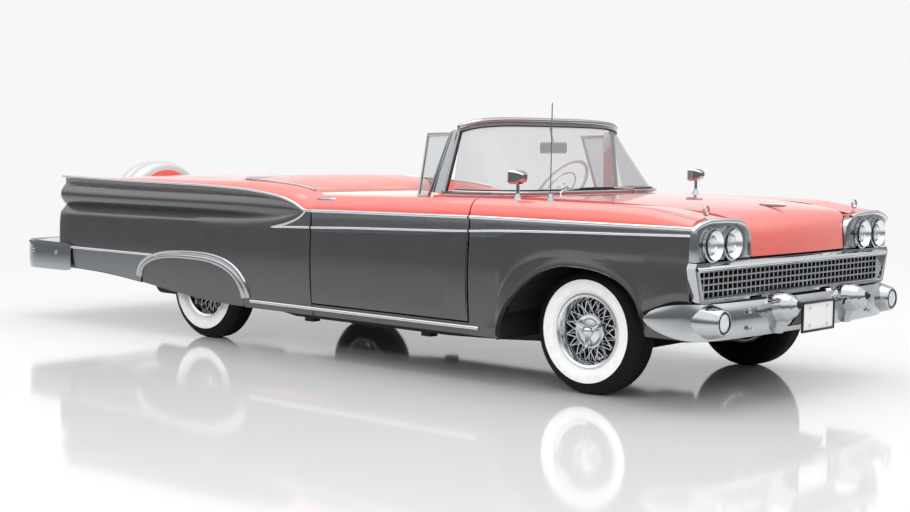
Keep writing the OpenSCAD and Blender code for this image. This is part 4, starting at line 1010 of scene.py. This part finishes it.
def bench(name, base_x, top, back_h, tunnel):
    cushion = ("cushion", (.50, BENCH_WIDE, .20), (base_x + .29, 0, top - .105), 4)
    back = ("back", (.115, BENCH_WIDE, back_h), (base_x + .035, 0, top - .02 + back_h / 2), -10)
    for tag, size, centre, lean in (cushion, back):
        bpy.ops.object.select_all(action="DESELECT")
        bpy.ops.mesh.primitive_cube_add(size=1, location=(0, 0, 0))
        obj = bpy.context.object
        obj.scale = size
        bpy.ops.object.transform_apply(location=True, rotation=True, scale=True)
        bpy.ops.object.mode_set(mode="EDIT")
        bpy.ops.mesh.select_all(action="SELECT")
        bpy.ops.mesh.subdivide(number_cuts=24)
        bpy.ops.mesh.select_mode(type="EDGE")
        bpy.ops.mesh.select_all(action="DESELECT")
        bpy.ops.object.mode_set(mode="OBJECT")
        for e in obj.data.edges:
            a, b = (obj.data.vertices[i].co for i in e.vertices)
            e.select = abs(a.y - b.y) > .01
        bpy.ops.object.mode_set(mode="EDIT")
        bpy.ops.mesh.subdivide(number_cuts=4)
        bpy.ops.object.mode_set(mode="OBJECT")
        for v in obj.data.vertices:
            u = [v.co[i] / (size[i] / 2) for i in range(3)]
            rib = abs(math.cos(math.pi * v.co.y / CHANNEL)) ** .6
            sewn = min(1, max(0, (.93 - abs(u[1])) / .05))
            if tag == "cushion":
                crown = (1 - u[0] ** 4) * (1 - u[1] ** 6)
                if u[2] > 0:
                    v.co.z += u[2] * (.022 * crown - .010 * sewn * (1 - rib) * (abs(u[0]) < .8))
            else:
                crown = (1 - u[2] ** 4) * (1 - u[1] ** 6)
                if u[0] > 0:
                    v.co.x += u[0] * (.020 * crown - .009 * sewn * (1 - rib) * (-.9 < u[2] < .62))
                if u[2] > 0:
                    v.co.z -= .03 * u[1] ** 8 * u[2]
        obj.data.materials.append(VINYL)
        obj.data.materials.append(IVORY_VINYL)
        for p in obj.data.polygons:
            c = p.center
            front = c.z > .31 * back_h if tag == "back" else c.x > .2
            p.material_index = 1 if front or abs(c.y) > .635 else 0
        modified(obj, "BEVEL", width=.03, segments=4, limit_method="ANGLE", angle_limit=math.radians(60))
        obj.rotation_euler = (0, math.radians(lean), 0)
        obj.location = centre
        smooth(obj, 60)
        placed(obj, f"{name}_{tag}", None, "body", [name] if tag == "cushion" else ())
    high = top - .20 - SEAT_FOOT
    plinth = block((.50, 1.30, high), (base_x + .29, 0, SEAT_FOOT + high / 2), .02)
    placed(plinth, f"{name}_plinth", CARPET, "body")
    cutter = block((1.2, 2 * tunnel, .6), (base_x + .2, 0, SEAT_FOOT + .164 - .3), 0)
    modified(plinth, "BOOLEAN", object=cutter, operation="DIFFERENCE", solver="EXACT")
    drop(cutter)


bench("front_seat", XR + 1.375, .565, .36, .184)
bench("rear_seat", XR + .60, .545, .40, .122)


# Boot cover.
# Padded vinyl cover snapped over the folded top, in crosswise pleats between the bows beneath it.

# Backed vinyl cloth in pale coral: half matt, with a 2 mm grain.
BOOT = grained(finish_of("boot_vinyl", "#DDA09A", 0.0, 0.5), 500, 0.2, 0.0006)

PLEAT = .075
cover = pressed(from_solid("boot_cover"), 70, 3)
for v in cover.data.vertices:
    if v.co.z > .95:
        v.co.z += .004 * math.sin(2 * math.pi * (v.co.x + .03 * math.cos(3 * v.co.y)) / PLEAT) - .004
placed(cover, "boot_cover_sewn", BOOT, "body", ["boot_cover"])


# Dashboard and steering wheel.
# Painted steel dash with a bright lower strip and a black gauge pod before the driver; an ivory column
# carries a dished ivory wheel with a plated horn ring and cap.

# Moulded ivory plastic: smooth and glossy, dulled where hands hold it.
IVORY = finish_of("ivory_plastic", "#F1ECE2", 0.0, 0.22, Coat_Weight=0.5)
uneven(IVORY, 20, .18, .3)

finished("dashboard", CORAL)
finished("steering_column", IVORY)
finished("steering_wheel", IVORY)
placed(block((.05, .40, .13), (XF - .885, .38, .872), .02, 4), "gauge_pod", DARK, "body")
strip("dash_strip", [(XF - .889, y, .815) for y in steps(-.68, .15, 8)], .008, STAINLESS, "body")
for k, (y, r) in enumerate(((.29, .045), (.40, .05), (.50, .04))):
    gauge = cylinder(r, .012, (XF - .912, y, .875), "x", 32, .003)
    placed(gauge, f"gauge_{k}", IVORY, "body")
column = Matrix.Translation((XF - 1.102, .38, .985)) @ Matrix.Rotation(math.radians(125), 4, "Y")
across = Matrix.Rotation(math.pi / 2, 4, "X")
horn = [(.115, -.004), (.119, -.005), (.121, 0), (.119, .005), (.115, .004), (.113, 0), (.115, -.004)]
spun("horn_ring", horn, 64, column @ Matrix.Translation((0, 0, -.004)) @ across, CHROME, "steering_wheel")
cap = [(.0, -.012), (.03, -.010), (.041, -.002), (.042, .006)]
spun("horn_cap", cap, 40, column @ across, CHROME, "steering_wheel")


# Studio floor.
# A pale lacquered floor without an edge: it mirrors the car softly and fades out between 4.6 and 11 metres.
FLOOR = finish_of("studio_floor_lacquer", "#D4D4D5", 0.0, 0.07, IOR=1.45)
place = add(FLOOR, "ShaderNodeTexCoord").outputs["Object"]
away = add(FLOOR, "ShaderNodeVectorMath", links={0: place}, operation="LENGTH").outputs["Value"]
fade = add(FLOOR, "ShaderNodeMapRange", {"From Min": 4.6, "From Max": 11.0}, {"Value": away},
           interpolation_type="SMOOTHSTEP").outputs["Result"]
clear = add(FLOOR, "ShaderNodeBsdfTransparent").outputs["BSDF"]
lacquer = FLOOR.node_tree.nodes["Principled BSDF"].outputs["BSDF"]
blend = add(FLOOR, "ShaderNodeMixShader", links={0: fade, 1: lacquer, 2: clear}).outputs["Shader"]
FLOOR.node_tree.links.new(blend, FLOOR.node_tree.nodes["Material Output"].inputs["Surface"])
bpy.ops.object.select_all(action="DESELECT")
bpy.ops.mesh.primitive_circle_add(vertices=96, radius=400, fill_type="NGON", location=(0, 0, 0))
ground = bpy.context.object
ground.name = "studio_floor"
ground.data.materials.append(FLOOR)


# Studio air.
# A pale backdrop behind the car and grey hall elsewhere, under a brighter ceiling.
world = bpy.data.worlds.new("studio_air")
bpy.context.scene.world = world
world.use_nodes = True
air = world.node_tree.nodes["Background"]
place = add(world, "ShaderNodeTexCoord").outputs["Generated"]
height = add(world, "ShaderNodeSeparateXYZ", links={"Vector": place}).outputs["Z"]
walls = []
for stops in (((.13, "#F7F7F7"), (.42, "#B9BBBE")), ((.0, "#838588"), (.20, "#9FA1A4"), (.34, "#F2F3F4"))):
    ramp = add(world, "ShaderNodeValToRGB", links={"Fac": height})
    while len(ramp.color_ramp.elements) < len(stops):
        ramp.color_ramp.elements.new(.5)
    for stop, (level, colour) in zip(ramp.color_ramp.elements, stops):
        stop.position, stop.color = level, rgb(colour)
    walls.append(ramp.outputs["Color"])
behind = add(world, "ShaderNodeVectorMath", {1: (-.658, .753, 0)}, {0: place},
             operation="DOT_PRODUCT").outputs["Value"]
share = add(world, "ShaderNodeMapRange", {"From Min": .25, "From Max": .7}, {"Value": behind},
            interpolation_type="SMOOTHSTEP").outputs["Result"]
room = add(world, "ShaderNodeMix", links={"Factor": share}, data_type="RGBA")
world.node_tree.links.new(walls[1], room.inputs[6])
world.node_tree.links.new(walls[0], room.inputs[7])
ceiling = add(world, "ShaderNodeMapRange", {"From Min": .30, "From Max": .50, "To Min": 1.0, "To Max": 1.55},
              {"Value": height}, interpolation_type="SMOOTHSTEP").outputs["Result"]
lit = add(world, "ShaderNodeVectorMath", links={0: room.outputs[2], "Scale": ceiling}, operation="SCALE")
world.node_tree.links.new(lit.outputs["Vector"], air.inputs["Color"])
air.inputs["Strength"].default_value = 1.0


# Studio lamps.
# Four broad soft boxes: one overhead, and three round the car that do not show as rectangles in its gloss.
def soft_box(name, place, aim, size, power):
    data = bpy.data.lights.new(name, "AREA")
    data.shape = "RECTANGLE"
    data.size, data.size_y = size
    data.energy = power
    lamp = bpy.data.objects.new(name, data)
    bpy.context.scene.collection.objects.link(lamp)
    lamp.location = place
    lamp.rotation_euler = (Vector(aim) - Vector(place)).to_track_quat("-Z", "Y").to_euler()
    return lamp


soft_box("over", (1.0, 0, 6.5), (1.0, 0, 0), (10, 6), 240)
soft_box("front", (10, -6, 5.2), (1, 0, .6), (5, 2), 150).visible_glossy = False
soft_box("side", (-1, -11, 5.5), (0, 0, .5), (9, 1.6), 300).visible_glossy = False
soft_box("back", (-3, 9, 5), (0, 0, .6), (9, 2), 160).visible_glossy = False


# Camera.
# Standing height, three-quarter front from the car's right, a short telephoto lens.
yaw, pitch, roll = (math.radians(v) for v in (131.14, -4.64, 0.88))
fwd = Vector((math.cos(pitch) * math.cos(yaw), math.cos(pitch) * math.sin(yaw), math.sin(pitch)))
right = Vector((math.sin(yaw), -math.cos(yaw), 0))
up = right.cross(fwd)
r2 = right * math.cos(roll) + up * math.sin(roll)
u2 = up * math.cos(roll) - right * math.sin(roll)
data = bpy.data.cameras.new("camera")
data.sensor_width = 36
data.lens = 1559.74 * 36 / 910
data.shift_x, data.shift_y = -0.21 / 910, 8.98 / 910
data.clip_end = 200
camera = bpy.data.objects.new("camera", data)
bpy.context.scene.collection.objects.link(camera)
turn = Matrix((r2, u2, -fwd)).transposed().to_4x4()
camera.matrix_world = Matrix.Translation((6.54985, -7.12363, 1.27715)) @ turn
bpy.context.scene.camera = camera
bpy.context.scene.view_settings.view_transform = "Standard"
